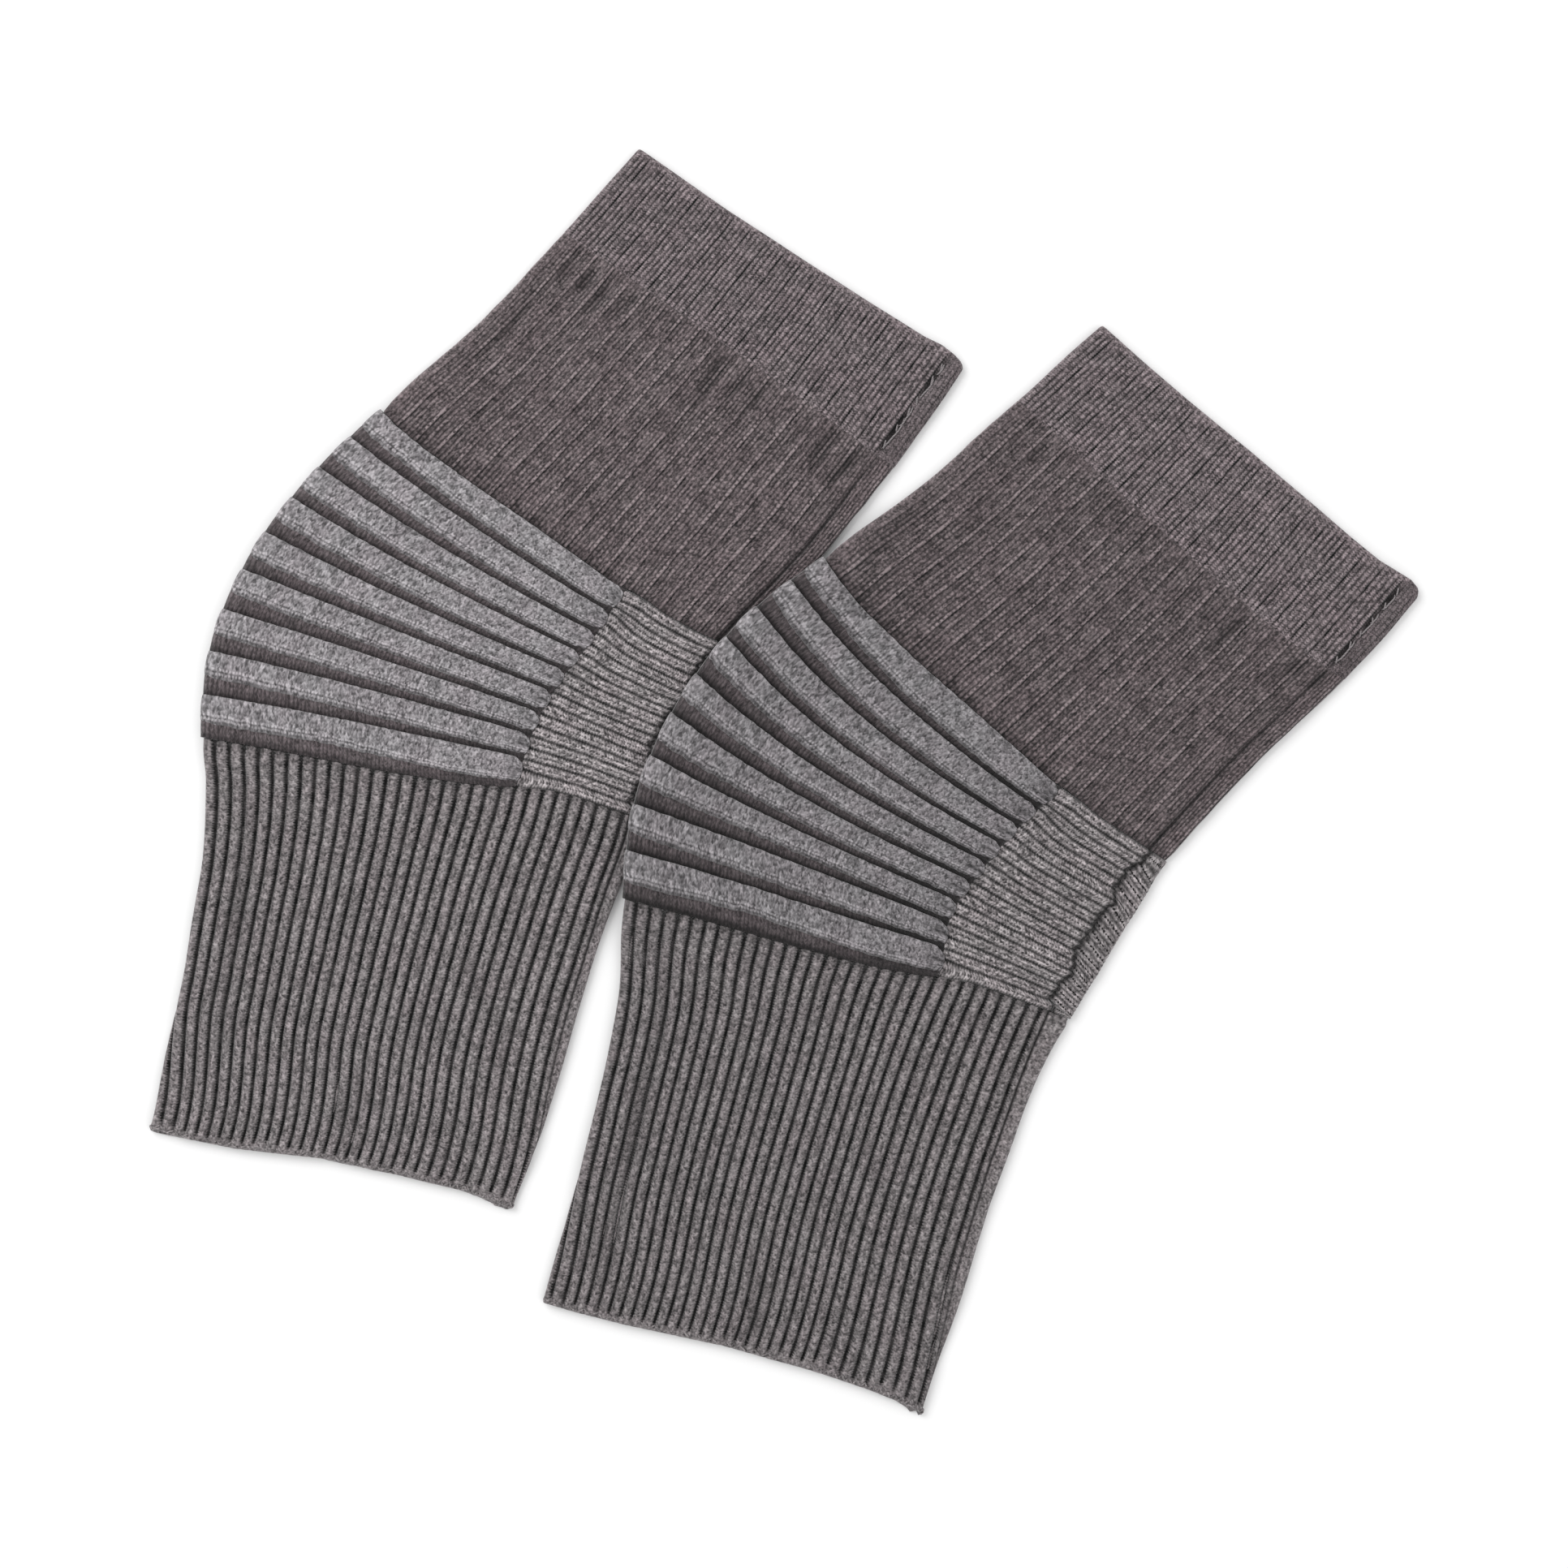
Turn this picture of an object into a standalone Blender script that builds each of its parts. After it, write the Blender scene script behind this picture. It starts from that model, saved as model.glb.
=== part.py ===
"""A pair of knitted knee warmers laid flat, the right one partly over the left one.

Each warmer is one knitted tube, closed by a seam down its back and pressed flat, so an upper
and a lower layer meet at a front fold and a back fold. From the thigh down it has a ribbed
cuff, a thigh part, a knee fan of thick bands on a thin ground, a cross-ribbed knee pit, and
a ribbed calf.

Sizes are in millimetres and become metres as each mesh is made. The origin is on the surface
below the middle of the pair, +Z is up and +Y is towards the thigh cuffs.
"""

import math
from collections import namedtuple

import bmesh
import bpy

METRES = 0.001

# Cloth.
WALL = 1.6  # thickness of the knitted wall
HOLLOW = 0.8  # space left between the two layers of a flattened tube
PIECE_GAP = 0.3  # space between neighbouring pieces
BAND_THICK = 1.2  # thickness of a knee band
TUBE_THICK = 2 * WALL + HOLLOW
BAND_PROUD = PIECE_GAP + BAND_THICK

# Lengths along the leg, measured down the pit line from the top of the cuff.
CUFF_END = 44.0
KNEE_START = 134.0
KNEE_END = 208.0
LEG_END = 348.0
CORNER_RADIUS = 3.0  # rounding of the cuff's two top corners
SWELL_REACH = 14.0  # the cloth rises to the knee's thickness over this length
PIT_SWELL_REACH = 0.35  # and sinks again over this share of the knee pit

# The seam runs down the upper layer, this far in front of the back fold.
Seam = namedtuple("Seam", "along inset")

SEAM_ROWS = (
    Seam(0.0, 11.0),
    Seam(44.0, 10.0),
    Seam(89.0, 8.0),
    Seam(134.0, 10.0),
    Seam(171.0, 11.5),
    Seam(200.0, 10.5),
    Seam(222.0, 5.0),
    Seam(278.0, 4.5),
    Seam(348.0, 4.5),
)

# Where the right warmer lies on the left one.
LAY_GAP = 0.45  # space between the two warmers
LAY_START = 80.0  # the stretch of the left warmer's back edge that it crosses
LAY_END = 236.0
LAY_LEVEL = 6.0  # it stays level this far past that edge
LAY_FALL = 20.0  # and then comes down to the surface over this distance

# A row is one course of the knitting: how far down the leg it is, where it meets the front
# fold, the pit line (where the knee bands end) and the back fold, and how far it sags
# towards the hem halfway from the front fold to the pit line.
Row = namedtuple("Row", "along front_x front_y pit_x pit_y back_x back_y sag")

LEFT_ROWS = (
    Row(0.0, -52.1, 226.5, 28.6, 173.0, 65.6, 149.4, 0.0),
    Row(44.0, -80.0, 195.0, 1.9, 138.1, 39.6, 112.4, 0.0),
    Row(89.0, -109.6, 163.7, -28.0, 102.5, 14.0, 80.5, 0.0),
    Row(134.0, -144.0, 133.5, -57.6, 66.5, -14.1, 47.7, 0.4),
    Row(152.5, -169.5, 109.4, -68.0, 51.1, -22.8, 32.3, 0.8),
    Row(171.0, -190.7, 81.6, -79.3, 36.6, -31.5, 17.8, 0.3),
    Row(189.5, -204.8, 49.4, -88.6, 20.4, -39.9, 1.8, -0.5),
    Row(208.0, -208.6, 14.6, -94.4, 2.4, -47.4, -13.0, 1.2),
    Row(222.0, -207.0, 0.6, -98.9, -13.3, -54.0, -26.5, 0.8),
    Row(243.0, -207.6, -20.2, -106.3, -36.7, -62.0, -47.2, 0.0),
    Row(278.0, -212.7, -54.7, -117.0, -74.2, -73.6, -82.9, 0.0),
    Row(313.0, -219.2, -88.9, -126.0, -108.6, -83.8, -118.0, 0.0),
    Row(348.0, -227.0, -124.1, -137.3, -139.8, -97.0, -152.6, 0.0),
)

RIGHT_ROWS = (
    Row(0.0, 113.2, 163.2, 191.8, 96.7, 227.6, 66.7, 0.0),
    Row(44.0, 81.9, 135.2, 162.2, 61.9, 201.7, 37.5, 0.0),
    Row(89.0, 50.8, 107.4, 129.5, 28.2, 169.2, 6.5, 0.0),
    Row(134.0, 14.6, 81.0, 96.7, -4.3, 137.3, -28.6, 1.2),
    Row(152.5, -15.8, 57.5, 82.5, -17.6, 128.3, -42.3, 2.1),
    Row(171.0, -38.4, 28.2, 70.6, -31.5, 119.3, -57.0, 1.3),
    Row(189.5, -53.2, -5.7, 59.9, -46.6, 110.9, -71.0, -0.3),
    Row(208.0, -57.9, -42.2, 56.1, -65.7, 103.6, -83.1, 1.0),
    Row(222.0, -58.7, -56.5, 50.3, -80.5, 95.6, -96.2, 0.8),
    Row(243.0, -59.8, -78.2, 41.9, -103.2, 86.4, -116.8, 0.0),
    Row(278.0, -67.3, -113.3, 30.0, -140.3, 73.6, -152.5, 0.0),
    Row(313.0, -76.0, -149.3, 19.3, -175.9, 62.2, -188.5, 0.0),
    Row(348.0, -86.3, -185.6, 7.1, -209.4, 49.9, -224.8, 0.0),
)

# A knee band's top edge and width where it crosses the front fold, as shares of the knee's
# length there. Below each band lies a groove that narrows towards the pit line.
Band = namedtuple("Band", "left_top left_width right_top right_width")

BANDS = (
    Band(0.000, 0.084, 0.000, 0.080),
    Band(0.118, 0.064, 0.111, 0.053),
    Band(0.218, 0.071, 0.201, 0.069),
    Band(0.321, 0.070, 0.300, 0.068),
    Band(0.432, 0.074, 0.414, 0.066),
    Band(0.544, 0.067, 0.525, 0.075),
    Band(0.656, 0.069, 0.639, 0.075),
    Band(0.768, 0.064, 0.763, 0.067),
    Band(0.875, 0.068, 0.870, 0.076),
)
PIT_STEP = 0.114  # from one band's top edge to the next at the pit line
PIT_GROOVE = 0.023  # width of the grooves there
LAST_GROOVE = 0.008  # and of the one below the last band
BAND_END = 0.985  # share of the way to the pit line where a band ends

# Places across a layer: 0 is the front fold, 1 the pit line and 2 the back fold. The right
# warmer bends over the left one near its front, so it has more of them there.
LEFT_ACROSS = (0.15, 0.45, 0.75)
RIGHT_ACROSS = (0.08, 0.16, 0.24, 0.34, 0.46, 0.62, 0.8)
BACK_ACROSS = (1.3, 1.6)
PIT_LIP = 1.15  # the knee pit has one more, where it comes down from the knee's thickness
FOLD_ANGLES = (90, 45, 0, -45, -90)  # degrees round a fold, from its upper to its lower side

CUFF_STATIONS = (0.0, 1.0, CORNER_RADIUS, 22.0, CUFF_END)
THIGH_STATIONS = (CUFF_END, 66.0, 89.0, 105.0, 120.0, 127.0, KNEE_START)
CALF_STATIONS = (KNEE_END, 215.0, 222.0, 243.0, 260.0, 278.0, 313.0, LEG_END)

# Colours are linear RGB; the knit is matt.
Finish = namedtuple("Finish", "red green blue roughness")

FINISHES = {
    "cuff": Finish(0.150, 0.125, 0.132, 0.92),
    "thigh": Finish(0.120, 0.098, 0.102, 0.92),
    "knee": Finish(0.075, 0.062, 0.064, 0.94),
    "band": Finish(0.290, 0.285, 0.290, 0.95),
    "pit": Finish(0.210, 0.195, 0.198, 0.92),
    "calf": Finish(0.170, 0.155, 0.160, 0.92),
}


def ease(share):
    """0 to 1 with a level start and end."""
    share = min(max(share, 0.0), 1.0)
    return share * share * (3.0 - 2.0 * share)


def mix(first, second, share):
    return tuple(a + (b - a) * share for a, b in zip(first, second))


def through_rows(rows, along):
    """The row at this length along the leg, on a smooth curve through the given rows."""
    last = len(rows) - 1
    start = 0
    while start < last - 1 and rows[start + 1].along <= along:
        start += 1
    a, b = rows[start], rows[start + 1]
    before, after = rows[max(start - 1, 0)], rows[min(start + 2, last)]
    span = b.along - a.along
    t = (along - a.along) / span
    values = []
    for p, q, low, high in zip(a, b, before, after):
        slope_a = (q - low) / (b.along - before.along) * span
        slope_b = (high - p) / (after.along - a.along) * span
        values.append(
            (2 * t**3 - 3 * t**2 + 1) * p
            + (t**3 - 2 * t**2 + t) * slope_a
            + (3 * t**2 - 2 * t**3) * q
            + (t**3 - t**2) * slope_b
        )
    return type(a)(*values)


class Warmer:
    """One knee warmer: turns places on its cloth into points."""

    def __init__(self, name, rows, fan, across, lies_on=None):
        self.name = name
        self.rows = rows
        self.fan = fan
        self.across = across
        self.lies_on = lies_on

    def course(self, along):
        """Front, pit and back points of a course, and the lengths of its two stretches."""
        row = through_rows(self.rows, along)
        front = (row.front_x, row.front_y)
        pit = (row.pit_x, row.pit_y)
        back = (row.back_x, row.back_y)
        return front, pit, back, math.dist(front, pit), math.dist(pit, back)

    def spot(self, distance, along):
        """The plan point this far along a course from the front outline."""
        front, pit, back, front_length, back_length = self.course(along)
        if distance > front_length:
            return mix(pit, back, (distance - front_length) / back_length)
        share = distance / front_length
        x, y = mix(front, pit, share)
        sag = through_rows(self.rows, along).sag * 4.0 * share * (1.0 - share)
        toward_hem = (pit[1] - front[1], front[0] - pit[0])
        return x + toward_hem[0] / front_length * sag, y + toward_hem[1] / front_length * sag

    def floor(self, x, y):
        """Height of what lies under the cloth: the surface, or the other warmer."""
        if self.lies_on is None:
            return 0.0
        away = self.lies_on.distance_past_back(x, y)
        fall = ease((away - LAY_LEVEL) / LAY_FALL)
        return (TUBE_THICK + LAY_GAP) * (1.0 - fall)

    def distance_past_back(self, x, y):
        """How far a plan point lies behind this warmer's back edge, where the other crosses it."""
        steps = 24
        nearest = math.inf
        previous = None
        inside = False
        for step in range(steps + 1):
            row = through_rows(self.rows, LAY_START + (LAY_END - LAY_START) * step / steps)
            point = (row.back_x, row.back_y)
            nearest = min(nearest, math.dist((x, y), point))
            if previous and point[1] <= y <= previous[1]:
                share = (previous[1] - y) / (previous[1] - point[1])
                inside = x < mix(previous, point, share)[0]
            previous = point
        return 0.0 if inside else nearest

    def swell(self, place, along):
        """1 where the knee bands thicken the cloth, easing to 0 around them."""
        above = ease(1.0 - (KNEE_START - along) / SWELL_REACH)
        below = ease(1.0 - (along - KNEE_END) / SWELL_REACH)
        behind = ease(1.0 - (place - 1.0) / PIT_SWELL_REACH)
        return above * below * behind

    def corner_inset(self, along):
        """How far the folds draw in at the rounded corners of the cuff."""
        if along >= CORNER_RADIUS:
            return 0.0
        short = CORNER_RADIUS - along
        return CORNER_RADIUS - math.sqrt(CORNER_RADIUS**2 - short**2)

    def point(self, sample, along, offset):
        """The point this far out from the tube's hollow, at one place round the tube."""
        kind, value = sample
        front_length, back_length = self.course(along)[3:]
        whole = front_length + back_length
        radius = HOLLOW / 2 + offset
        corner = self.corner_inset(along)
        if kind == "front":
            centre = corner + WALL + BAND_PROUD * self.swell(0.0, along) + HOLLOW / 2
            distance = centre - radius * math.cos(math.radians(value))
            rise = radius * math.sin(math.radians(value))
            place = 0.0
        elif kind == "back":
            centre = whole - corner - WALL - HOLLOW / 2
            distance = centre + radius * math.cos(math.radians(value))
            rise = radius * math.sin(math.radians(value))
            place = 2.0
        else:
            place = value
            distance = front_length * min(place, 1.0) + back_length * max(place - 1.0, 0.0)
            rise = radius if kind == "upper" else -radius
        x, y = self.spot(distance, along)
        middle = WALL + BAND_PROUD * self.swell(place, along) + HOLLOW / 2
        return x, y, self.floor(x, y) + middle + rise

    def seam_place(self, along):
        back_length = self.course(along)[4]
        return 2.0 - through_rows(SEAM_ROWS, along).inset / back_length

    def gap_place(self, along):
        """Half the gap between pieces, as a share of the pit's width."""
        return PIECE_GAP / 2 / self.course(along)[4]

    def front_round(self, start):
        """From a place on the upper layer, round the front fold, to the same place below."""
        places = [place for place in self.across if place < start] + [start]
        upper = [("upper", place) for place in reversed(places)]
        fold = [("front", angle) for angle in FOLD_ANGLES]
        lower = [("lower", place) for place in places]
        return upper + fold + lower

    def back_round(self, end):
        """Along the back of the lower layer and round the back fold to a place on the upper."""
        lower = [("lower", place) for place in BACK_ACROSS]
        fold = [("back", angle) for angle in reversed(FOLD_ANGLES)]
        return lower + fold + [("upper", end)]

    def fan_along(self, line, place):
        """Length along the leg of one edge of the fan's bands at a place across it.

        Lines run in pairs, each band's top edge then its bottom edge, and the last is the
        knee's end.
        """
        bands = len(self.fan)
        place = min(place, 1.0)
        number = line // 2
        if number == bands:
            return KNEE_END
        top, width = self.fan[number]
        share = top + (number * PIT_STEP - top) * place
        if line % 2:
            at_fold = top + width
            last = number == bands - 1
            at_pit = 1.0 - LAST_GROOVE if last else (number + 1) * PIT_STEP - PIT_GROOVE
            share = at_fold + (at_pit - at_fold) * place
        return KNEE_START + (KNEE_END - KNEE_START) * share


def closed_wall(name, finish, outer, inner):
    """A solid wall between two grids of points, one grid over the other."""
    mesh = bpy.data.meshes.new(name)
    shape = bmesh.new()
    grids = []
    for grid in (outer, inner):
        grids.append([[shape.verts.new([c * METRES for c in p]) for p in row] for row in grid])
    rows, columns = len(outer), len(outer[0])

    def cover(a, b, c, d):
        """A four-sided patch, always split along the same diagonal as the walls beside it."""
        shape.faces.new((a, b, c))
        shape.faces.new((a, c, d))

    for grid in grids:
        for i in range(rows - 1):
            for j in range(columns - 1):
                cover(grid[i][j], grid[i][j + 1], grid[i + 1][j + 1], grid[i + 1][j])
    over, under = grids
    for i in (0, rows - 1):
        for j in range(columns - 1):
            cover(over[i][j], over[i][j + 1], under[i][j + 1], under[i][j])
    for j in (0, columns - 1):
        for i in range(rows - 1):
            cover(over[i][j], over[i + 1][j], under[i + 1][j], under[i][j])
    bmesh.ops.recalc_face_normals(shape, faces=shape.faces)
    shape.to_mesh(mesh)
    shape.free()
    mesh.shade_smooth()
    mesh.set_sharp_from_angle(angle=math.radians(40))
    mesh.materials.append(knit_material(finish))
    piece = bpy.data.objects.new(name, mesh)
    bpy.context.scene.collection.objects.link(piece)
    return piece


def knit_material(finish):
    found = bpy.data.materials.get(finish)
    if found:
        return found
    look = FINISHES[finish]
    material = bpy.data.materials.new(finish)
    material.use_nodes = True
    shader = material.node_tree.nodes["Principled BSDF"]
    shader.inputs["Base Color"].default_value = (look.red, look.green, look.blue, 1.0)
    shader.inputs["Roughness"].default_value = look.roughness
    shader.inputs["Metallic"].default_value = 0.0
    material.diffuse_color = (look.red, look.green, look.blue, 1.0)
    return material


def tube_piece(warmer, zone, stations):
    """A zone that goes all round the leg, from one side of the seam to the other."""
    half = PIECE_GAP / 2
    inside = [stations[0] + (half if stations[0] > 0 else 0.0), *stations[1:-1]]
    inside.append(stations[-1] - (half if stations[-1] < LEG_END else 0.0))
    outer, inner = [], []
    for along in inside:
        seam = warmer.seam_place(along)
        gap = warmer.gap_place(along)
        path = [("upper", seam - gap), ("upper", BACK_ACROSS[1]), ("upper", BACK_ACROSS[0])]
        path += warmer.front_round(1.0) + warmer.back_round(seam + gap)
        outer.append([warmer.point(sample, along, WALL) for sample in path])
        inner.append([warmer.point(sample, along, 0.0) for sample in path])
    return closed_wall(f"{warmer.name}_{zone}", zone, outer, inner)


def knee_ground(warmer):
    """The thin ground of the fan, from the pit line round the front fold to the pit line."""
    half = PIECE_GAP / 2
    path = warmer.front_round(1.0)
    outer, inner = [], []
    for line in range(2 * len(warmer.fan) + 1):
        first, last = line == 0, line == 2 * len(warmer.fan)
        rows = ([], [])
        for kind, value in path:
            place = value if kind in ("upper", "lower") else 0.0
            along = warmer.fan_along(line, place) + half * (first - last)
            if place == 1.0:
                value = 1.0 - PIECE_GAP / 2 / warmer.course(along)[3]
            for row, offset in zip(rows, (WALL, 0.0)):
                row.append(warmer.point((kind, value), along, offset))
        outer.append(rows[0])
        inner.append(rows[1])
    return closed_wall(f"{warmer.name}_knee", "knee", outer, inner)


def knee_band(warmer, number):
    """One thick band, made from the ground's own points, moved out."""
    path = warmer.front_round(BAND_END)
    outer, inner = [], []
    for line in (2 * number, 2 * number + 1):
        rows = ([], [])
        for kind, value in path:
            place = value if kind in ("upper", "lower") else 0.0
            along = warmer.fan_along(line, place)
            for row, offset in zip(rows, (WALL + BAND_PROUD, WALL + PIECE_GAP)):
                row.append(warmer.point((kind, value), along, offset))
        outer.append(rows[0])
        inner.append(rows[1])
    return closed_wall(f"{warmer.name}_band_{number + 1}", "band", outer, inner)


def pit_piece(warmer, side):
    """The knee pit on one side of the seam."""
    half = PIECE_GAP / 2
    bands = len(warmer.fan)
    creases = [warmer.fan_along(2 * number, 1.0) for number in range(1, bands)]
    outer, inner = [], []
    for along in (KNEE_START + half, *creases, KNEE_END - half):
        seam = warmer.seam_place(along)
        gap = warmer.gap_place(along)
        if side == "seam_side":
            places = (1.0 + gap, PIT_LIP, *BACK_ACROSS, seam - gap)
            path = [("upper", place) for place in places]
        else:
            path = [("lower", 1.0 + gap), ("lower", PIT_LIP)] + warmer.back_round(seam + gap)
        outer.append([warmer.point(sample, along, WALL) for sample in path])
        inner.append([warmer.point(sample, along, 0.0) for sample in path])
    return closed_wall(f"{warmer.name}_pit_{side}", "pit", outer, inner)


def build_warmer(warmer):
    tube_piece(warmer, "cuff", CUFF_STATIONS)
    tube_piece(warmer, "thigh", THIGH_STATIONS)
    knee_ground(warmer)
    for number in range(len(warmer.fan)):
        knee_band(warmer, number)
    pit_piece(warmer, "seam_side")
    pit_piece(warmer, "fold_side")
    tube_piece(warmer, "calf", CALF_STATIONS)


def main():
    for obj in list(bpy.data.objects):
        bpy.data.objects.remove(obj, do_unlink=True)
    left_fan = [(band.left_top, band.left_width) for band in BANDS]
    right_fan = [(band.right_top, band.right_width) for band in BANDS]
    left = Warmer("left", LEFT_ROWS, left_fan, LEFT_ACROSS)
    right = Warmer("right", RIGHT_ROWS, right_fan, RIGHT_ACROSS, lies_on=left)
    build_warmer(left)
    build_warmer(right)


main()
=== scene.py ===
"""Knitted knee warmers, laid flat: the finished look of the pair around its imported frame.

Each warmer is one knitted tube pressed flat and closed by a seam down its back. The functions
below lay a piece of knitting on that tube: a place on the cloth is given by its wale (how far
round the leg it lies) and by how far along the leg it lies, both in the tube's own terms, and
becomes a point and an outward direction. Ribs, bands, grooves and creases are heights over
that form. Lengths are in millimetres until a mesh is made, which is in metres.
"""

import functools
import math
from collections import namedtuple

import bpy
import mathutils
import numpy as np
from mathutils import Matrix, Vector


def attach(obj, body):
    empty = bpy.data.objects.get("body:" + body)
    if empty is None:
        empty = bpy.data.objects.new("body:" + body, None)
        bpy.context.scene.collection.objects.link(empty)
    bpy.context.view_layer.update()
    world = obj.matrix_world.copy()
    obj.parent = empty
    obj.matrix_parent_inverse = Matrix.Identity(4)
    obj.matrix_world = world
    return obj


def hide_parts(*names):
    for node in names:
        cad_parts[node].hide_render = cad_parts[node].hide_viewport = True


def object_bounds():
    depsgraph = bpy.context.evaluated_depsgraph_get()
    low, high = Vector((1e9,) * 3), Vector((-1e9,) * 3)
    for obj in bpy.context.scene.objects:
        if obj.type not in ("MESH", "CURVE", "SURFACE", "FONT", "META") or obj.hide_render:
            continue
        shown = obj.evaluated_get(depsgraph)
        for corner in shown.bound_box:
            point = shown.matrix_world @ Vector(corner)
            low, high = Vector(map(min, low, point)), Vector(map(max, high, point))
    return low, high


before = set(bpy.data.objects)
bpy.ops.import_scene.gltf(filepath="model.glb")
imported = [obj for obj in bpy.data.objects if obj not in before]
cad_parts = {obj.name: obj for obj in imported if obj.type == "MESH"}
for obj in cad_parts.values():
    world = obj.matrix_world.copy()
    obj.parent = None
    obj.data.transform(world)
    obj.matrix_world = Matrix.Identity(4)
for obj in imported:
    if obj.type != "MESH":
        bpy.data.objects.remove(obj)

bl_info = {
    "name": "Knitted Knee Warmers",
    "version": (1, 0, 0),
    "blender": (4, 5, 0),
    "location": "View3D > Sidebar > Knee Warmers",
    "description": "Builds the pair of knitted knee warmers and a plain stage for them",
    "category": "Object",
}

CAD_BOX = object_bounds()
MM = 0.001
BODY = "root"

# ---------------------------------------------------------------------------------------------
# The form: the same courses as the frame's solids have.
# ---------------------------------------------------------------------------------------------

WALL = 1.6  # thickness of the knitted wall
HALF = 2.0  # from the middle of the hollow to the outer face of a flattened tube
PROUD = 1.5  # how far the knee's bands stand out over the cloth they lie on

# Where along the leg the parts meet. Lengths along the leg are nominal: they are nearly those
# at the pit line, and at the front fold the knee is about twice as long.
THIGH_START = 43.0
KNEE_START = 134.0
KNEE_END = 208.0
CALF_START = 209.0
LEG_LONG = 348.0
KNEE_LONG = KNEE_END - KNEE_START

SWELL_REACH = 14.0  # above and below the bands the cloth comes down over this length
PIT_SWELL_REACH = 0.35  # and behind the pit line over this share of the way to the back fold
FOLD_REACH = 3.2  # a fold's roundness reaches this far in from the outline
FOLD_ROUND = math.pi / 2 * math.sqrt((FOLD_REACH**2 + HALF**2) / 2)  # cloth in half a fold
FOLD_INSET = 0.75  # the knee's ground lies this far inside the outline
BEND_SOFTNESS = 8.0  # the courses bend at the pit line over about this length

# The right warmer lies on the left one's back edge, between these lengths along the left leg.
# It stays level this far past the edge, then comes down to the floor over the fall.
LAY_START = 80.0
LAY_END = 236.0
LAY_HEIGHT = 4.45  # how far the crossing raises it
LAY_LEVEL = 6.0
LAY_FALL = 20.0

# Near the hem the whole tube is turned towards the back, by this much.
TWIST_START = 296.0
TWIST_LONG = 48.0
TWIST = {"left": 5.0, "right": 3.2}

SEEDS = {"left": 24, "right": 14}  # for each warmer's own unevenness


def table_of(kind, *rows):
    """A table whose rows are all of one kind."""
    return tuple(kind(*row) for row in rows)


# A row is one course: how far down the leg it is, where it meets the front fold, the pit line
# and the back fold, how far it sags towards the hem, and how far the seam lies from the back.
Row = namedtuple("Row", "along front_x front_y pit_x pit_y back_x back_y sag seam")
FRONT, PIT, BACK = slice(1, 3), slice(3, 5), slice(5, 7)
SAG, SEAM = 7, 8

LEFT_ROWS = (
    Row(0.0, -52.1, 226.5, 28.6, 173.0, 65.6, 149.4, 0.0, 7.4),
    Row(44.0, -80.0, 195.0, 1.9, 138.1, 39.6, 112.4, 0.0, 8.6),
    Row(89.0, -109.6, 163.7, -28.0, 102.5, 14.0, 80.5, 0.0, 8.0),
    Row(134.0, -144.0, 133.5, -57.6, 66.5, -14.1, 47.7, 0.4, 10.0),
    Row(152.5, -169.5, 109.4, -68.0, 51.1, -22.8, 32.3, 0.8, 11.0),
    Row(171.0, -190.7, 81.6, -79.3, 36.6, -31.5, 17.8, 0.3, 11.5),
    Row(189.5, -204.8, 49.4, -88.6, 20.4, -39.9, 1.8, -0.5, 11.0),
    Row(208.0, -208.6, 14.6, -94.4, 2.4, -47.4, -13.0, 1.2, 8.0),
    Row(222.0, -207.0, 0.6, -98.9, -13.3, -54.0, -26.5, 0.8, 5.6),
    Row(243.0, -207.6, -20.2, -106.3, -36.7, -62.0, -47.2, 0.0, 5.0),
    Row(278.0, -212.7, -54.7, -117.0, -74.2, -73.6, -82.9, 0.0, 4.6),
    Row(313.0, -219.2, -88.9, -126.0, -108.6, -83.8, -118.0, 0.0, 4.0),
    Row(348.0, -227.0, -124.1, -137.3, -139.8, -97.0, -152.6, 0.0, 3.4),
)

RIGHT_ROWS = (
    Row(0.0, 113.2, 163.2, 191.8, 96.7, 227.6, 66.7, 0.0, 8.0),
    Row(44.0, 81.9, 135.2, 162.2, 61.9, 201.7, 37.5, 0.0, 8.4),
    Row(89.0, 50.8, 107.4, 129.5, 28.2, 169.2, 6.5, 0.0, 8.6),
    Row(134.0, 14.6, 81.0, 96.7, -4.3, 137.3, -28.6, 1.2, 9.4),
    Row(152.5, -15.8, 57.5, 82.5, -17.6, 128.3, -42.3, 2.1, 11.2),
    Row(171.0, -38.4, 28.2, 70.6, -31.5, 119.3, -57.0, 1.3, 11.6),
    Row(189.5, -53.2, -5.7, 59.9, -46.6, 110.9, -71.0, -0.3, 11.2),
    Row(208.0, -57.9, -42.2, 56.1, -65.7, 103.6, -83.1, 1.0, 9.4),
    Row(222.0, -58.7, -56.5, 50.3, -80.5, 95.6, -96.2, 0.8, 7.4),
    Row(243.0, -59.8, -78.2, 41.9, -103.2, 86.4, -116.8, 0.0, 6.4),
    Row(278.0, -67.3, -113.3, 30.0, -140.3, 73.6, -152.5, 0.0, 5.8),
    Row(313.0, -76.0, -149.3, 19.3, -175.9, 62.2, -188.5, 0.0, 5.0),
    Row(348.0, -86.3, -185.6, 7.1, -209.4, 49.9, -224.8, 0.0, 3.6),
)

# Lines across the cloth. Place is 0 at the front fold, 1 at the pit line and 2 at the back
# fold; the other two columns say how far along each leg the line lies there.
Line = namedtuple("Line", "place left right")

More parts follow.
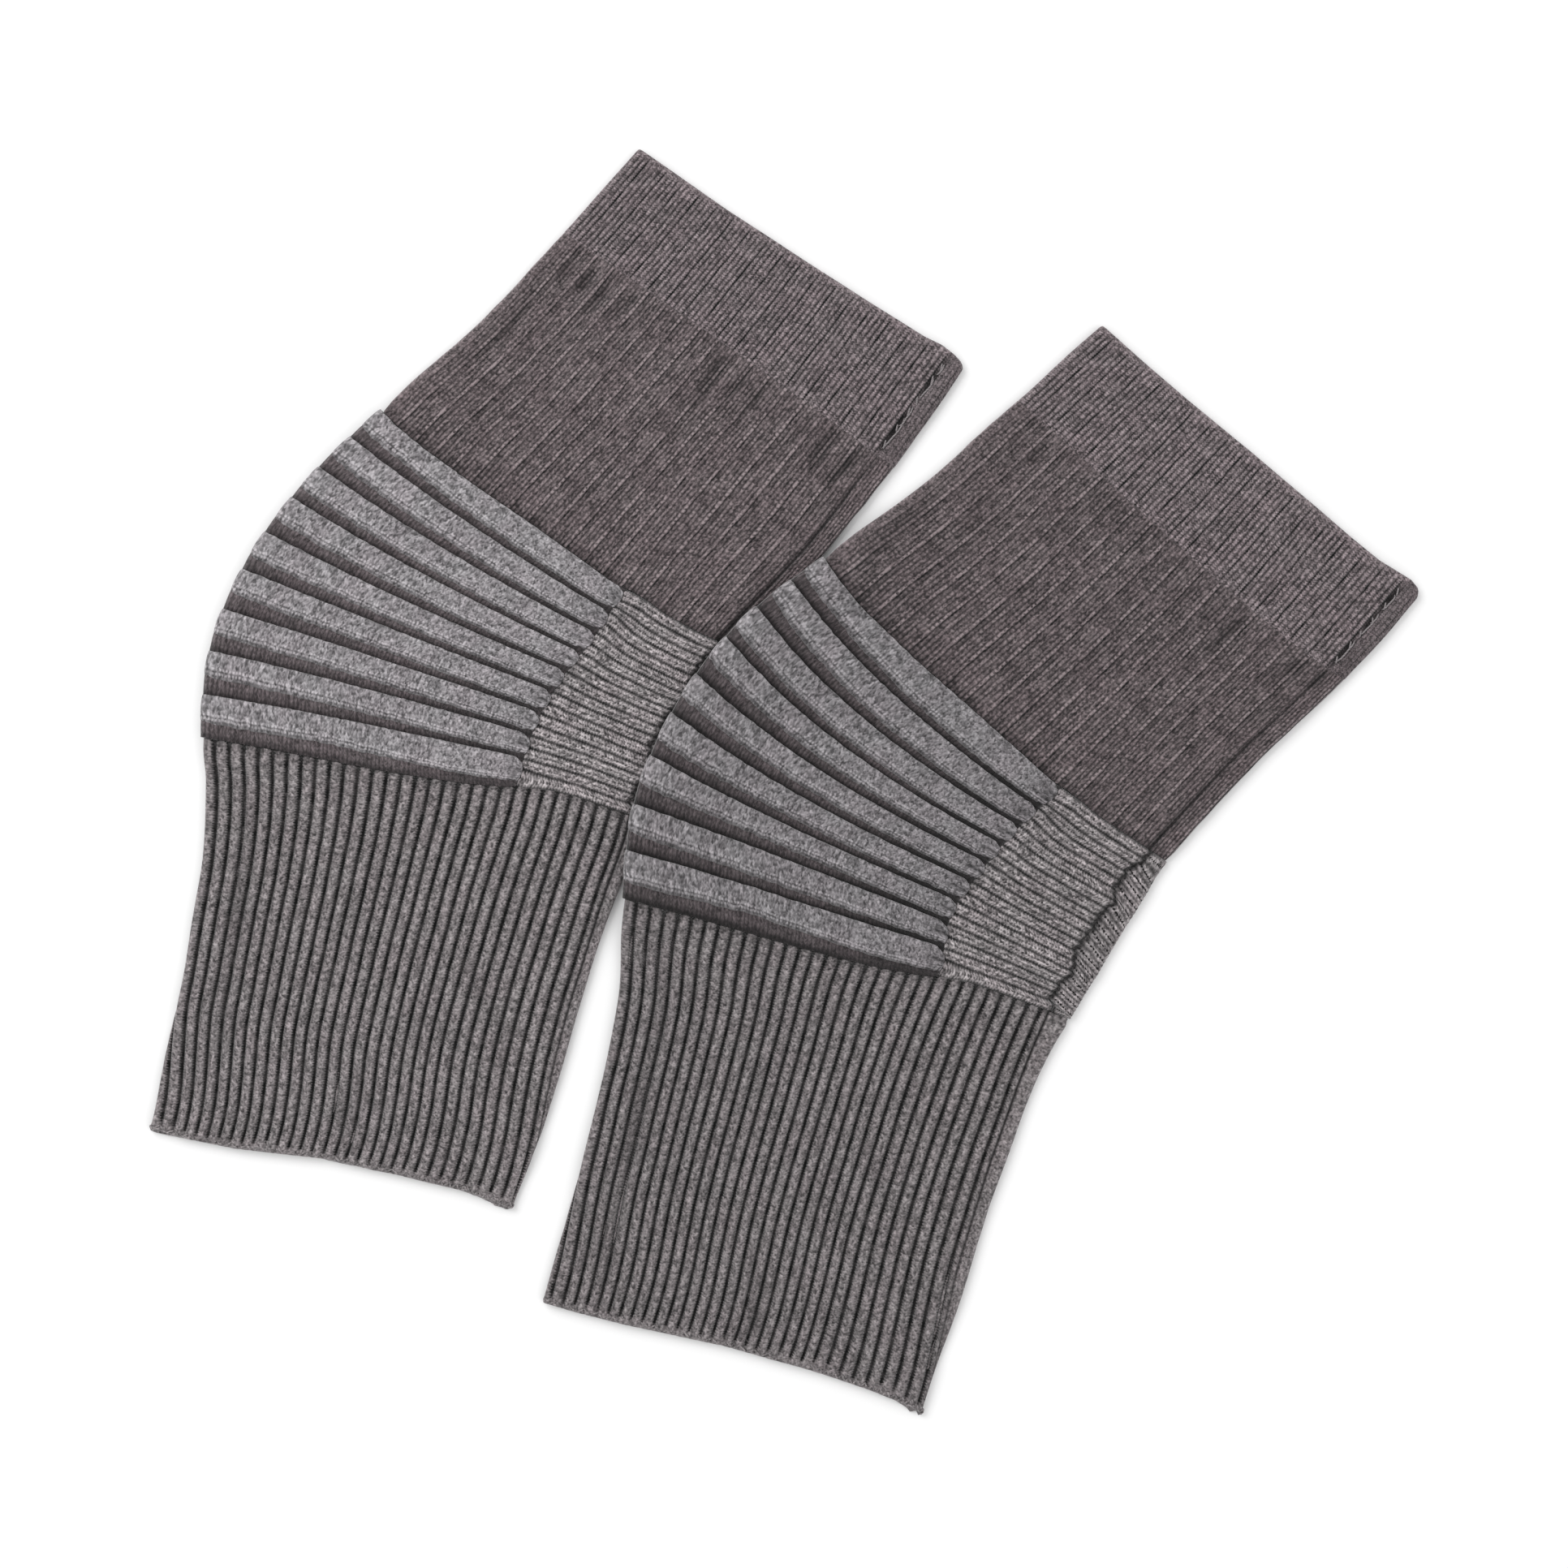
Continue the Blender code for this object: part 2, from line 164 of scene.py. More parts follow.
CUFF_TOP = table_of(
    Line,
    (0.00, -0.3, -0.6), (0.20, 0.2, 0.0), (0.40, 0.7, 0.2), (0.70, 0.5, -0.3),
    (1.00, 0.2, -0.2), (1.30, 0.0, 0.0), (1.55, -0.1, -0.2), (1.70, -0.9, -1.4),
    (1.82, -0.4, -2.4), (1.92, 0.6, -1.6), (2.00, 2.0, 1.2),
)
CUFF_END = table_of(
    Line,
    (0.00, 41.8, 41.5), (0.60, 42.0, 41.7), (1.00, 42.5, 41.6), (1.40, 43.0, 44.0),
    (1.80, 44.0, 45.6), (2.00, 44.2, 45.6),
)
THIGH_END = table_of(
    Line,
    (0.00, 134.1, 134.6), (0.08, 135.0, 135.5), (0.20, 135.2, 135.9), (0.42, 134.5, 135.0),
    (0.63, 133.3, 133.4), (0.84, 132.7, 132.1), (0.96, 132.7, 131.9), (1.04, 131.6, 131.2),
    (1.20, 132.5, 131.7), (1.35, 134.0, 132.7), (1.65, 135.3, 133.3), (2.00, 135.3, 134.0),
)
LAST_FOOT = table_of(
    Line,
    (0.00, 203.8, 204.0), (0.40, 204.4, 204.3), (0.63, 206.4, 206.4), (0.84, 208.8, 208.8),
    (1.00, 209.6, 209.6),
)
CALF_TOP = table_of(
    Line,
    (0.00, 207.0, 207.3), (0.25, 207.5, 208.0), (0.42, 208.6, 209.0), (0.63, 210.2, 210.6),
    (0.84, 211.6, 211.8), (0.96, 211.6, 211.6), (1.05, 210.2, 210.2), (1.20, 209.3, 209.6),
    (1.40, 208.7, 209.5), (2.00, 209.2, 210.0),
)
HEM = table_of(
    Line,
    (0.00, 347.5, 348.2), (0.10, 348.8, 348.6), (0.30, 349.3, 348.5), (0.50, 348.2, 347.8),
    (0.66, 347.2, 347.2), (0.85, 348.2, 347.6), (1.10, 347.8, 347.4), (1.40, 346.8, 347.2),
    (1.70, 347.6, 347.8), (1.88, 348.8, 349.8), (2.00, 348.6, 348.8),
)

# The creases between the knee's bands, as shares of the knee's length: where one lies at the
# front folds and at the pit line, how far its middle bows towards the hem, and how wide the
# dark ground above it shows at the front folds.
Crease = namedtuple("Crease", "pit left right left_bow right_bow left_ground right_ground")

CREASES = (
    Crease(0.108, 0.118, 0.111, 0.0105, 0.026, 0.034, 0.031),
    Crease(0.224, 0.218, 0.201, 0.010, 0.029, 0.036, 0.037),
    Crease(0.341, 0.321, 0.300, 0.008, 0.029, 0.032, 0.031),
    Crease(0.455, 0.432, 0.414, 0.005, 0.023, 0.041, 0.046),
    Crease(0.570, 0.544, 0.525, -0.002, 0.016, 0.038, 0.045),
    Crease(0.684, 0.656, 0.639, -0.004, 0.008, 0.045, 0.039),
    Crease(0.797, 0.768, 0.763, -0.008, -0.007, 0.043, 0.049),
    Crease(0.911, 0.875, 0.870, -0.015, -0.010, 0.043, 0.040),
)
BANDS = len(CREASES) + 1
GROUND_AT_PIT = 0.018  # share of the knee's length that the ground still shows at the pit line
BAND_END = 0.997  # share of the way to the pit line where a band ends
FIRST_BAND_RIBS = 3  # ribs of the knee pit that meet the first band; the others meet two each
PIT_RIBS = FIRST_BAND_RIBS + 2 * (BANDS - 1)

# A value of each warmer's seam at a length along the leg.
SeamAt = namedtuple("SeamAt", "along left right")

# How the seam behind the knee wanders, in millimetres towards the knee pit. The cloth between
# it and the back fold puffs out where it wanders furthest.
SEAM_WANDER = table_of(
    SeamAt,
    (131.0, 0.0, -0.5), (138.0, -1.2, -1.4), (144.4, 0.8, 0.8), (150.0, 0.9, 0.7),
    (154.5, 0.3, 0.4), (157.5, -2.2, -2.7), (163.0, -0.3, -0.7), (168.8, 0.6, -0.3),
    (175.7, 0.4, -0.4), (181.0, 1.3, 1.0), (186.0, -1.0, -1.2), (190.5, -1.8, -1.9),
    (198.6, 0.4, 0.3), (204.5, 1.2, 1.2), (208.5, -0.9, -1.2), (211.0, 0.0, -0.2),
)

# How far open the sewn seam is: 1 is a wide dark gap.
SEAM_OPEN = table_of(
    SeamAt,
    (-4.0, 0.1, 0.1), (3.0, 0.5, 0.2), (5.5, 0.3, 1.0), (8.0, 1.0, 1.5),
    (10.0, 0.5, 1.5), (13.0, 1.3, 0.6), (15.5, 0.8, 0.8), (17.5, 0.5, 0.6),
    (20.0, 0.2, 1.3), (23.0, 0.4, 1.3), (26.0, 1.2, 0.5), (30.0, 2.0, 0.4),
    (33.0, 2.3, 1.2), (36.5, 1.8, 1.8), (40.0, 0.9, 1.5), (43.0, 0.4, 0.5),
    (50.0, 0.5, 0.9), (60.0, 0.7, 0.6), (95.0, 0.8, 0.7), (131.0, 0.9, 0.9),
    (212.0, 0.8, 0.8), (360.0, 0.5, 0.5),
)

# Ribs counted from the front fold, at wales: wale 1 is the pit line, SEAM_WALE the sewn seam
# and 2 the back fold.
SEAM_WALE = 1.8
Count = namedtuple("Count", "wale left right")

FINE_RIBS = (
    Count(0.0, 0.0, 0.0),
    Count(1.0, 53.6, 53.6),
    Count(SEAM_WALE, 72.5, 72.5),
    Count(2.0, 78.0, 78.0),
)
CALF_RIBS = (
    Count(0.0, 0.0, 0.0),
    Count(0.052, 1.0, 1.0),
    Count(1.0, 22.0, 23.15),
    Count(SEAM_WALE, 30.6, 31.6),
    Count(2.0, 32.0, 33.0),
)
REPEAT = 4  # fine ribs in one repeat of the cuff's and thigh's pattern
THIGH_LINES = 1.25  # lines of stitches in the thigh to each of the cuff's fine ribs

# A soft trough or ridge, listed one by one: where its middle lies, across the leg from the front
# fold (below zero on the lower layer) and along it, how its length is turned away from the
# course, its size and its height.
Fold = namedtuple("Fold", "across along turn length width height")

LEFT_FOLDS = table_of(
    Fold,
    (17.0, 268.0, 88.0, 60.0, 5.0, -1.0), (11.0, 53.0, 84.0, 11.0, 2.8, -0.7),
    (18.5, 52.0, 88.0, 11.0, 3.0, -1.1), (26.0, 54.0, 94.0, 14.0, 3.2, -1.1),
    (34.5, 52.0, 92.0, 11.0, 3.0, -0.9), (52.0, 47.0, -4.0, 14.0, 3.5, -0.5),
    (75.0, 56.0, 80.0, 14.0, 4.0, -1.5), (83.0, 52.0, 92.0, 11.0, 2.4, -1.2),
    (91.0, 53.0, 88.0, 13.0, 2.8, -1.0), (111.0, 52.0, 92.0, 10.0, 2.6, -1.0),
    (121.0, 53.0, 84.0, 12.0, 3.4, -1.7), (131.0, 56.0, 96.0, 14.0, 3.6, -1.7),
    (22.0, 53.0, 90.0, 9.0, 1.6, 0.5), (30.0, 54.0, 92.0, 9.0, 1.8, 0.5),
    (86.0, 54.0, 90.0, 9.0, 2.0, 0.4), (116.0, 53.0, 90.0, 9.0, 1.8, 0.6),
    (126.0, 54.0, 90.0, 10.0, 2.0, 0.7), (9.0, 76.0, 84.0, 22.0, 4.0, -1.1),
    (64.0, 330.0, 70.0, 16.0, 6.0, -0.7), (118.0, 300.0, 80.0, 26.0, 5.0, -0.5),
    (40.0, 90.0, 75.0, 30.0, 10.0, 0.4), (95.0, 100.0, 100.0, 28.0, 9.0, 0.3),
    (-60.0, 300.0, 80.0, 40.0, 8.0, -0.6), (-30.0, 60.0, 20.0, 30.0, 7.0, -0.5),
)
RIGHT_FOLDS = table_of(
    Fold,
    (17.0, 285.0, 90.0, 70.0, 5.5, -1.0), (48.0, 48.0, 3.0, 18.0, 3.5, -0.5),
    (20.0, 51.5, 90.0, 10.0, 2.6, -0.8), (66.0, 52.0, 86.0, 11.0, 2.8, -0.8),
    (104.0, 53.0, 92.0, 12.0, 2.8, -0.9), (113.0, 54.0, 88.0, 13.0, 3.0, -1.1),
    (138.0, 54.0, 94.0, 12.0, 3.0, -1.1), (8.0, 108.0, 80.0, 26.0, 4.0, -0.8),
    (72.0, 334.0, 75.0, 14.0, 5.0, -0.8), (138.0, 318.0, 84.0, 28.0, 4.0, -0.9),
    (45.0, 86.0, 80.0, 26.0, 9.0, 0.4), (100.0, 96.0, 96.0, 30.0, 10.0, 0.3),
    (-50.0, 290.0, 85.0, 44.0, 8.0, -0.6), (-80.0, 70.0, 10.0, 30.0, 7.0, -0.5),
)
# The cloth's own unevenness, and how far it leaves the tube's face all over.
OWN_UNEVEN = 0.16
OWN_DROP = 0.12


def ease(share):
    """0 to 1 with a level start and end."""
    share = np.clip(share, 0.0, 1.0)
    return share * share * (3.0 - 2.0 * share)


def spread(first, last, share):
    """The value this share of the way from the first to the last."""
    return first + (last - first) * share


def near(away, reach):
    """1 at a line and falling to 0 beside it, by how far away it is."""
    return np.exp(-((away / reach) ** 2))


def through_rows(rows, along):
    """The row's values at each length along the leg, on a smooth curve through the rows."""
    stops = rows[:, 0]
    last = len(stops) - 1
    start = np.clip(np.searchsorted(stops, along, side="right") - 1, 0, last - 1)
    a, b = rows[start], rows[start + 1]
    before, after = rows[np.maximum(start - 1, 0)], rows[np.minimum(start + 2, last)]
    span = (b[..., 0] - a[..., 0])[..., None]
    t = (along - a[..., 0])[..., None] / span
    slope_a = (b - before) / (b[..., 0] - before[..., 0])[..., None] * span
    slope_b = (after - a) / (after[..., 0] - a[..., 0])[..., None] * span
    return (
        (2 * t**3 - 3 * t**2 + 1) * a
        + (t**3 - 2 * t**2 + t) * slope_a
        + (3 * t**2 - 2 * t**3) * b
        + (t**3 - t**2) * slope_b
    )


def ripple(x, y, size, seed):
    """Smooth unevenness between about -1 and 1, in waves of about this size."""
    chance = np.random.default_rng(seed)
    waves = 7
    total = 0.0
    for _ in range(waves):
        turn = chance.uniform(0.0, math.tau)
        length = size * chance.uniform(1.0, 2.6)
        phase = chance.uniform(0.0, math.tau)
        total = total + np.sin((x * math.cos(turn) + y * math.sin(turn)) * math.tau / length + phase)
    return total / math.sqrt(waves)


def columns_of(table, side):
    """A table's first column, and its column for one of the warmers."""
    return np.array([row[0] for row in table]), np.array([getattr(row, side) for row in table])


def line_at(line, side, place):
    """How far along the leg a line lies at each place."""
    return np.interp(np.abs(place), *columns_of(line, side))


def along_seam(table, side, along):
    """A table's value at lengths along the seam, eased from one line of it to the next."""
    stops, values = columns_of(table, side)
    along = np.clip(along, stops[0], stops[-1])
    start = np.clip(np.searchsorted(stops, along, side="right") - 1, 0, len(stops) - 2)
    share = (along - stops[start]) / (stops[start + 1] - stops[start])
    return spread(values[start], values[start + 1], ease(share))


def ribs_at(counts, side, wale):
    """How many ribs lie between the front fold and each wale."""
    return np.sign(wale) * np.interp(np.abs(wale), *columns_of(counts, side))


def wales_of(counts, side, ribs):
    """The wale at each count of ribs."""
    wales, values = columns_of(counts, side)
    return np.interp(ribs, values, wales)


class Warmer:
    """One warmer's form: lays wales and courses out in space."""

    def __init__(self, side, rows, folds, lies_on=None):
        self.side = side
        self.rows = np.array(rows)
        self.folds = folds
        self.back_edge = through_rows(self.rows, np.linspace(LAY_START, LAY_END, 160))[:, BACK]
        self.lies_on = lies_on
        self.seed = SEEDS[side]

    def floor(self, x, y):
        """Height of what lies under the cloth."""
        if self.lies_on is None:
            return np.zeros(x.shape)
        edge = self.lies_on.back_edge
        away = np.full(x.shape, np.inf)
        for edge_x, edge_y in edge:
            np.minimum(away, np.hypot(x - edge_x, y - edge_y), out=away)
        inside = x < np.interp(-y, -edge[:, 1], edge[:, 0])
        inside &= (y <= edge[0, 1]) & (y >= edge[-1, 1])
        away[inside] = 0.0
        return LAY_HEIGHT * (1.0 - ease((away - LAY_LEVEL) / LAY_FALL))

    def swell(self, place, along):
        """1 where the knee's bands thicken the cloth, easing to 0 around them."""
        above = ease(1.0 - (KNEE_START - along) / SWELL_REACH)
        below = ease(1.0 - (along - KNEE_END) / SWELL_REACH)
        return above * below * ease(1.0 - (place - 1.0) / PIT_SWELL_REACH)

    def widths(self, along):
        """Lengths of a course's two stretches, before and behind the pit line."""
        row = through_rows(self.rows, along)
        front_length = np.linalg.norm(row[..., PIT] - row[..., FRONT], axis=-1)
        back_length = np.linalg.norm(row[..., BACK] - row[..., PIT], axis=-1)
        return front_length, back_length

    def place_of(self, wale, along, seam_shift=0.0):
        """Where a wale lies across the leg; the wales bend with the seam."""
        row = through_rows(self.rows, along)
        back_length = np.linalg.norm(row[..., BACK] - row[..., PIT], axis=-1)
        inset = (row[..., SEAM] - seam_shift) / back_length
        size = np.abs(wale)
        before = 1.0 + (size - 1.0) / (SEAM_WALE - 1.0) * (1.0 - inset)
        behind = 2.0 - (2.0 - size) / (2.0 - SEAM_WALE) * inset
        return np.sign(wale) * np.where(size < 1.0, size, np.where(size < SEAM_WALE, before, behind))

    def lay(self, place, along, out, slip=0.0):
        """Points at a height over the tube's outer face, round the leg and along it.

        A place is on the upper layer if it is positive, and the same place on the lower layer
        if it is negative. Slip moves a point round the leg.
        """
        row = through_rows(self.rows, along)
        front, pit, back = row[..., FRONT], row[..., PIT], row[..., BACK]
        front_length = np.linalg.norm(pit - front, axis=-1)
        back_length = np.linalg.norm(back - pit, axis=-1)
        along_front = (pit - front) / front_length[..., None]
        along_back = (back - pit) / back_length[..., None]
        inset = FOLD_INSET * self.swell(0.0, along)
        level = front_length + back_length - inset - 2 * FOLD_REACH
        half_round = level + 2 * FOLD_ROUND
        to_pit = FOLD_ROUND + front_length - inset - FOLD_REACH

        # How much cloth lies between the point and the front fold.
        place = (place + 2.0) % 4.0 - 2.0
        size = np.abs(place)
        past_pit = to_pit + (half_round - to_pit) * (size - 1.0)
        cloth = np.where(size < 1.0, to_pit * size, past_pit)
        twist = TWIST[self.side] * ease((along - TWIST_START) / TWIST_LONG)
        cloth = np.sign(place) * cloth + twist + slip
        cloth = (cloth + half_round) % (2 * half_round) - half_round
        upper = cloth >= 0
        cloth = np.abs(cloth)

        # The folds' roundness, as angles that are level again away from each fold.
        front_angle = np.clip(cloth / FOLD_ROUND, 0.0, 1.0) * math.pi / 2
        back_angle = np.clip((half_round - cloth) / FOLD_ROUND, 0.0, 1.0) * math.pi / 2
        distance = inset + FOLD_REACH * (1.0 - np.cos(front_angle))
        distance += np.clip(cloth - FOLD_ROUND, 0.0, level) + FOLD_REACH * np.cos(back_angle)
        upright = np.sin(front_angle) * np.sin(back_angle)
        rise = HALF * upright

        # The course in plan, bent softly at the pit line and sagging before it.
        past = (distance - front_length)[..., None]
        bend = np.sqrt(past**2 + BEND_SOFTNESS**2)
        plan = pit + (along_front + along_back) / 2 * past + (along_back - along_front) / 2 * bend
        share = np.clip(distance / front_length, 0.0, 1.0)
        toward_hem = np.stack([along_front[..., 1], -along_front[..., 0]], axis=-1)
        plan = plan + toward_hem * (row[..., SAG] * 4.0 * share * (1.0 - share))[..., None]

        over = np.where(distance < front_length, share, 1.0 + (distance - front_length) / back_length)
        sideways = along_back * np.cos(back_angle)[..., None]
        sideways = sideways - along_front * np.cos(front_angle)[..., None]
        middle = self.floor(plan[..., 0], plan[..., 1]) + HALF + PROUD * self.swell(over, along)
        height = middle + np.where(upper, rise, -rise)
        out = np.asarray(out)
        plan = plan + sideways * out[..., None]
        height = np.maximum(height + upright * np.where(upper, 1.0, -1.0) * out, 0.0)
        return np.concatenate([plan, height[..., None]], axis=-1)

    def uneven(self, place, along):
        """Height of the listed troughs and ridges, and of the cloth's own unevenness."""
        front_length, back_length = self.widths(along)
        size = np.abs(place)
        across = np.where(size < 1.0, front_length * size, front_length + back_length * (size - 1.0))
        across = np.sign(place) * across
        total = OWN_UNEVEN * ripple(across, along, 22.0, self.seed) - OWN_DROP
        for fold in self.folds:
            turn = math.radians(fold.turn)
            x, y = across - fold.across, along - fold.along
            lengthwise = (x * math.cos(turn) + y * math.sin(turn)) / fold.length
            sidewise = (y * math.cos(turn) - x * math.sin(turn)) / fold.width
            total += fold.height * np.exp(-(lengthwise**2 + sidewise**2) * 2.0)
        return np.where(place > 0, total, np.minimum(total, 0.0))


def make_pair():
    """Both warmers' forms, laid where the frame's own outline starts."""
    low = np.array(CAD_BOX[0]) / MM
    rows = [np.array(LEFT_ROWS), np.array(RIGHT_ROWS)]
    outline = np.concatenate([side[:, edge] for side in rows for edge in (FRONT, BACK)])
    shift = np.round(low[:2] - outline.min(axis=0), 1)
    for side in rows:
        for edge in (FRONT, PIT, BACK):
            side[:, edge] += shift
    left = Warmer("left", rows[0], LEFT_FOLDS)
    return left, Warmer("right", rows[1], RIGHT_FOLDS, lies_on=left)


PAIR = make_pair()


def size_of(name):
    """One of the panel's sizes, in millimetres."""
    return getattr(bpy.context.scene.knee_warmer_sizes, name) / MM


# ---------------------------------------------------------------------------------------------
# Knitting made into meshes
# ---------------------------------------------------------------------------------------------

# Strips of the baking map that each part of a piece fills, from its lower to its upper edge.
ATLAS_LOWER = (0.01, 0.46)
ATLAS_UPPER = (0.47, 0.92)
ATLAS_INSIDE = (0.93, 0.955)
ATLAS_RIMS = ((0.96, 0.967), (0.972, 0.979), (0.984, 0.989), (0.993, 0.998))
ATLAS_ACROSS = (0.01, 0.99)


class Piece:
    """A grid of points for the outside of a piece, a coarser one for its inside, and edges.

    The outside's rows run along the leg and its columns round it. The inside has the points
    over the picked rows and columns only, and the rims between the two have one side to each
    of its spans. Turn is the column that lies on a fold, where the baking map is parted.
    """

    def __init__(self, outside, inside, rows, columns, closed, turn, knit, marks):
        self.outside, self.inside = outside, inside
        self.rows, self.columns = list(rows), list(columns)
        self.closed = closed
        self.turn = turn
        self.knit = knit
        self.marks = marks
        self.faces, self.knit_map, self.bake_map = [], [], []

    def outer(self, row, column):
        """The outside's point number in this row and column."""
        return row * self.outside.shape[1] + column % self.outside.shape[1]

    def inner(self, row, column):
        """The inside's point number in this row and column of its own."""
        count = self.inside.shape[1]
        return self.outside.shape[0] * self.outside.shape[1] + row * count + column % count

    def add_quads(self, number_at, rows, columns, strip_of, flip):
        """Quads between picked rows and columns, all of one side of the piece."""
        for i in range(len(rows) - 1):
            for j in range(len(columns) - 1):
                corners = [(i, j), (i, j + 1), (i + 1, j + 1), (i + 1, j)]
                if flip:
                    corners.reverse()
                self.faces.append([number_at(row, column) for row, column in corners])
                low, high, first, last = strip_of(j)
                for row, column in corners:
                    self.knit_map.append(self.knit[rows[row], columns[column]])
                    u = (columns[column] - first) / (last - first)
                    v = rows[row] / rows[-1]
                    self.bake_map.append((spread(*ATLAS_ACROSS, u), spread(low, high, v)))

    def add_rim(self, outer_ring, inner_ring, knit_ring, strip, flip):
        """Faces from the outside's edge to the inside's, one to each span of the inside."""
        low, high = strip
        total = outer_ring[-1][0]
        for (first, start), (last, end) in zip(inner_ring, inner_ring[1:]):
            side = [(step, number) for step, number in outer_ring if first <= step <= last]
            corners = [(step, number, high) for step, number in side]
            corners += [(last, end, low), (first, start, low)]
            if flip:
                corners.reverse()
            self.faces.append([number for _, number, _ in corners])
            for step, _, v in corners:
                self.knit_map.append(knit_ring[step])
                self.bake_map.append((spread(*ATLAS_ACROSS, step / total), v))

    def add_faces(self):
        """All the faces: the outside's, the inside's and the rims' between them."""
        count = self.outside.shape[1]
        down = list(range(self.outside.shape[0]))
        across = list(range(count + 1 if self.closed else count))
        columns = self.columns + [count] if self.closed else self.columns
        turn, last = self.turn, across[-1]

        def outer_strip(column):
            """The strip that a column fills, and the columns between which it runs."""
            return (*ATLAS_LOWER, 0, turn) if column < turn else (*ATLAS_UPPER, turn, last)

        def inner_strip(_):
            return (*ATLAS_INSIDE, 0, last)

        self.add_quads(self.outer, down, across, outer_strip, True)
        self.add_quads(self.inner, self.rows, columns, inner_strip, False)
        for end, flip, strip in ((0, False, ATLAS_RIMS[0]), (-1, True, ATLAS_RIMS[1])):
            row, inner_row = down[end], range(len(self.rows))[end]
            outer_ring = [(column, self.outer(row, column)) for column in across]
            inner_ring = [(column, self.inner(inner_row, i)) for i, column in enumerate(columns)]
            self.add_rim(outer_ring, inner_ring, self.knit[row], strip, flip)
        if self.closed:
            return
        for end, flip, strip in ((0, True, ATLAS_RIMS[2]), (-1, False, ATLAS_RIMS[3])):
            column, inner_column = across[end], range(len(columns))[end]
            outer_ring = [(row, self.outer(row, column)) for row in down]
            inner_ring = [(row, self.inner(i, inner_column)) for i, row in enumerate(self.rows)]
            self.add_rim(outer_ring, inner_ring, self.knit[:, column], strip, flip)

    def mesh(self, name):
        """The piece as a mesh, with its two maps and its marks."""
        self.add_faces()
        points = np.concatenate([self.outside.reshape(-1, 3), self.inside.reshape(-1, 3)]) * MM
        mesh = bpy.data.meshes.new(name)
        mesh.from_pydata(points.tolist(), [], self.faces)
        for map_name, places in (("Knit", self.knit_map), ("OFBake", self.bake_map)):
            layer = mesh.uv_layers.new(name=map_name)
            layer.data.foreach_set("uv", np.array(places, dtype=np.float32).ravel())
        mesh.uv_layers["Knit"].active_render = True
        for mark, values in self.marks.items():
            inside = values[np.ix_(self.rows, self.columns)]
            attribute = mesh.attributes.new(mark, "FLOAT", "POINT")
            both = np.concatenate([values[:, : self.outside.shape[1]].ravel(), inside.ravel()])
            attribute.data.foreach_set("value", both.astype(np.float32))
        mesh.shade_smooth()
        mesh.validate()
        return mesh


def picked(count, every):
    """Every so many of a count of rows or columns, with the first and the last one."""
    steps = max(1, round((count - 1) / every))
    return sorted({round(i * (count - 1) / steps) for i in range(steps + 1)})


def open_piece(warmer, name, place, along, height, picks, depth, turn, knit, marks):
    """A piece that goes part of the way round the leg, with an even inside this far down."""
    outside = warmer.lay(place, along, height)
    grid = np.ix_(*picks)
    inside = warmer.lay(place[grid], along[grid], np.full(place[grid].shape, -depth))
    return Piece(outside, inside, *picks, False, turn, knit, marks).mesh(name)


# ---------------------------------------------------------------------------------------------
# The cuff, the thigh and the calf, which go all round the leg
# ---------------------------------------------------------------------------------------------

# An edge's section: (in from the edge, down from the outer face). A rolled one starts inside
# the tube and comes round to its outer face.
ROLLED_EDGE = (
    (2.6, 1.60),
    (1.4, 1.56),
    (0.6, 1.40),
    (0.18, 1.10),
    (0.0, 0.75),
    (0.16, 0.38),
    (0.55, 0.13),
    (1.2, 0.02),
)
BUTTED_EDGE = ((0.0, 1.35), (0.0, 0.12), (0.35, 0.02), (0.8, 0.0))
EDGE_DOWN = 1.35  # how far down the butted edges of the other pieces reach
SEAM_COLUMNS = (-0.034, -0.024, -0.016, -0.010, -0.005, 0.0, 0.008, 0.016, 0.026, 0.040, 0.060)
SEAM_CLEAR = 0.0035  # no other column comes this near to the seam's own, in wales
INSIDE_COLUMN = 9  # the inside has one column to this many outside
INSIDE_ROW = 8  # and one row to this many
INSIDE_CLEAR = 0.12  # the inside stays this far below the troughs over it
SEAM_SHADE = 1.2  # the open seams get more painted shade than any trough
SEAM_DARK = 1.7  # how quickly that painted shade deepens towards their middle
SEAM_DEEP = 1.25  # how deep they are, and about how far they reach to either side
SEAM_WIDE = 0.62
DEEPEST = -2.0  # no trough or groove reaches further down, as the tube's lower layer starts there
LIGHTEST = -0.3  # the least painted shade, below zero a painted highlight, which the ridges have
JOINT_RIDGE = 0.10  # height and reach of the soft ridge where the cuff joins the thigh part
JOINT_REACH = 1.6
REPEAT_GROOVE = 0.38  # how much deeper the cuff's groove at each repeat is than the others
STRIP_SHADE = 0.52  # how much darker the cuff's strip past the seam is
BROAD_RIB = 0.35  # share of the fine ribs' depth that the thigh's broad ribs have
STITCH_LINE = 0.22  # and share of it that its lines of stitches have
TOWARD_KNEE = 0.5  # how far the thigh part comes down to its lower edge
UNDER_KNEE = 0.75  # how far the calf comes down to its upper edge
CALF_RIB_SHARE = 0.82  # share of the rib's pitch that the rib itself takes; the rest is groove

# Painted shade over the whole of each part of a warmer, beyond the painted shade in its troughs: the parts
# that lay in dimmer light are painted darker.
PAINTED_SHADE_OF_PART = {
    "left": {"cuff": 0.0, "thigh": 0.0, "knee": 0.06, "pit": 0.0, "calf": 0.03},
    "right": {"cuff": 0.0, "thigh": 0.13, "knee": 0.35, "pit": 0.16, "calf": 0.16},
}


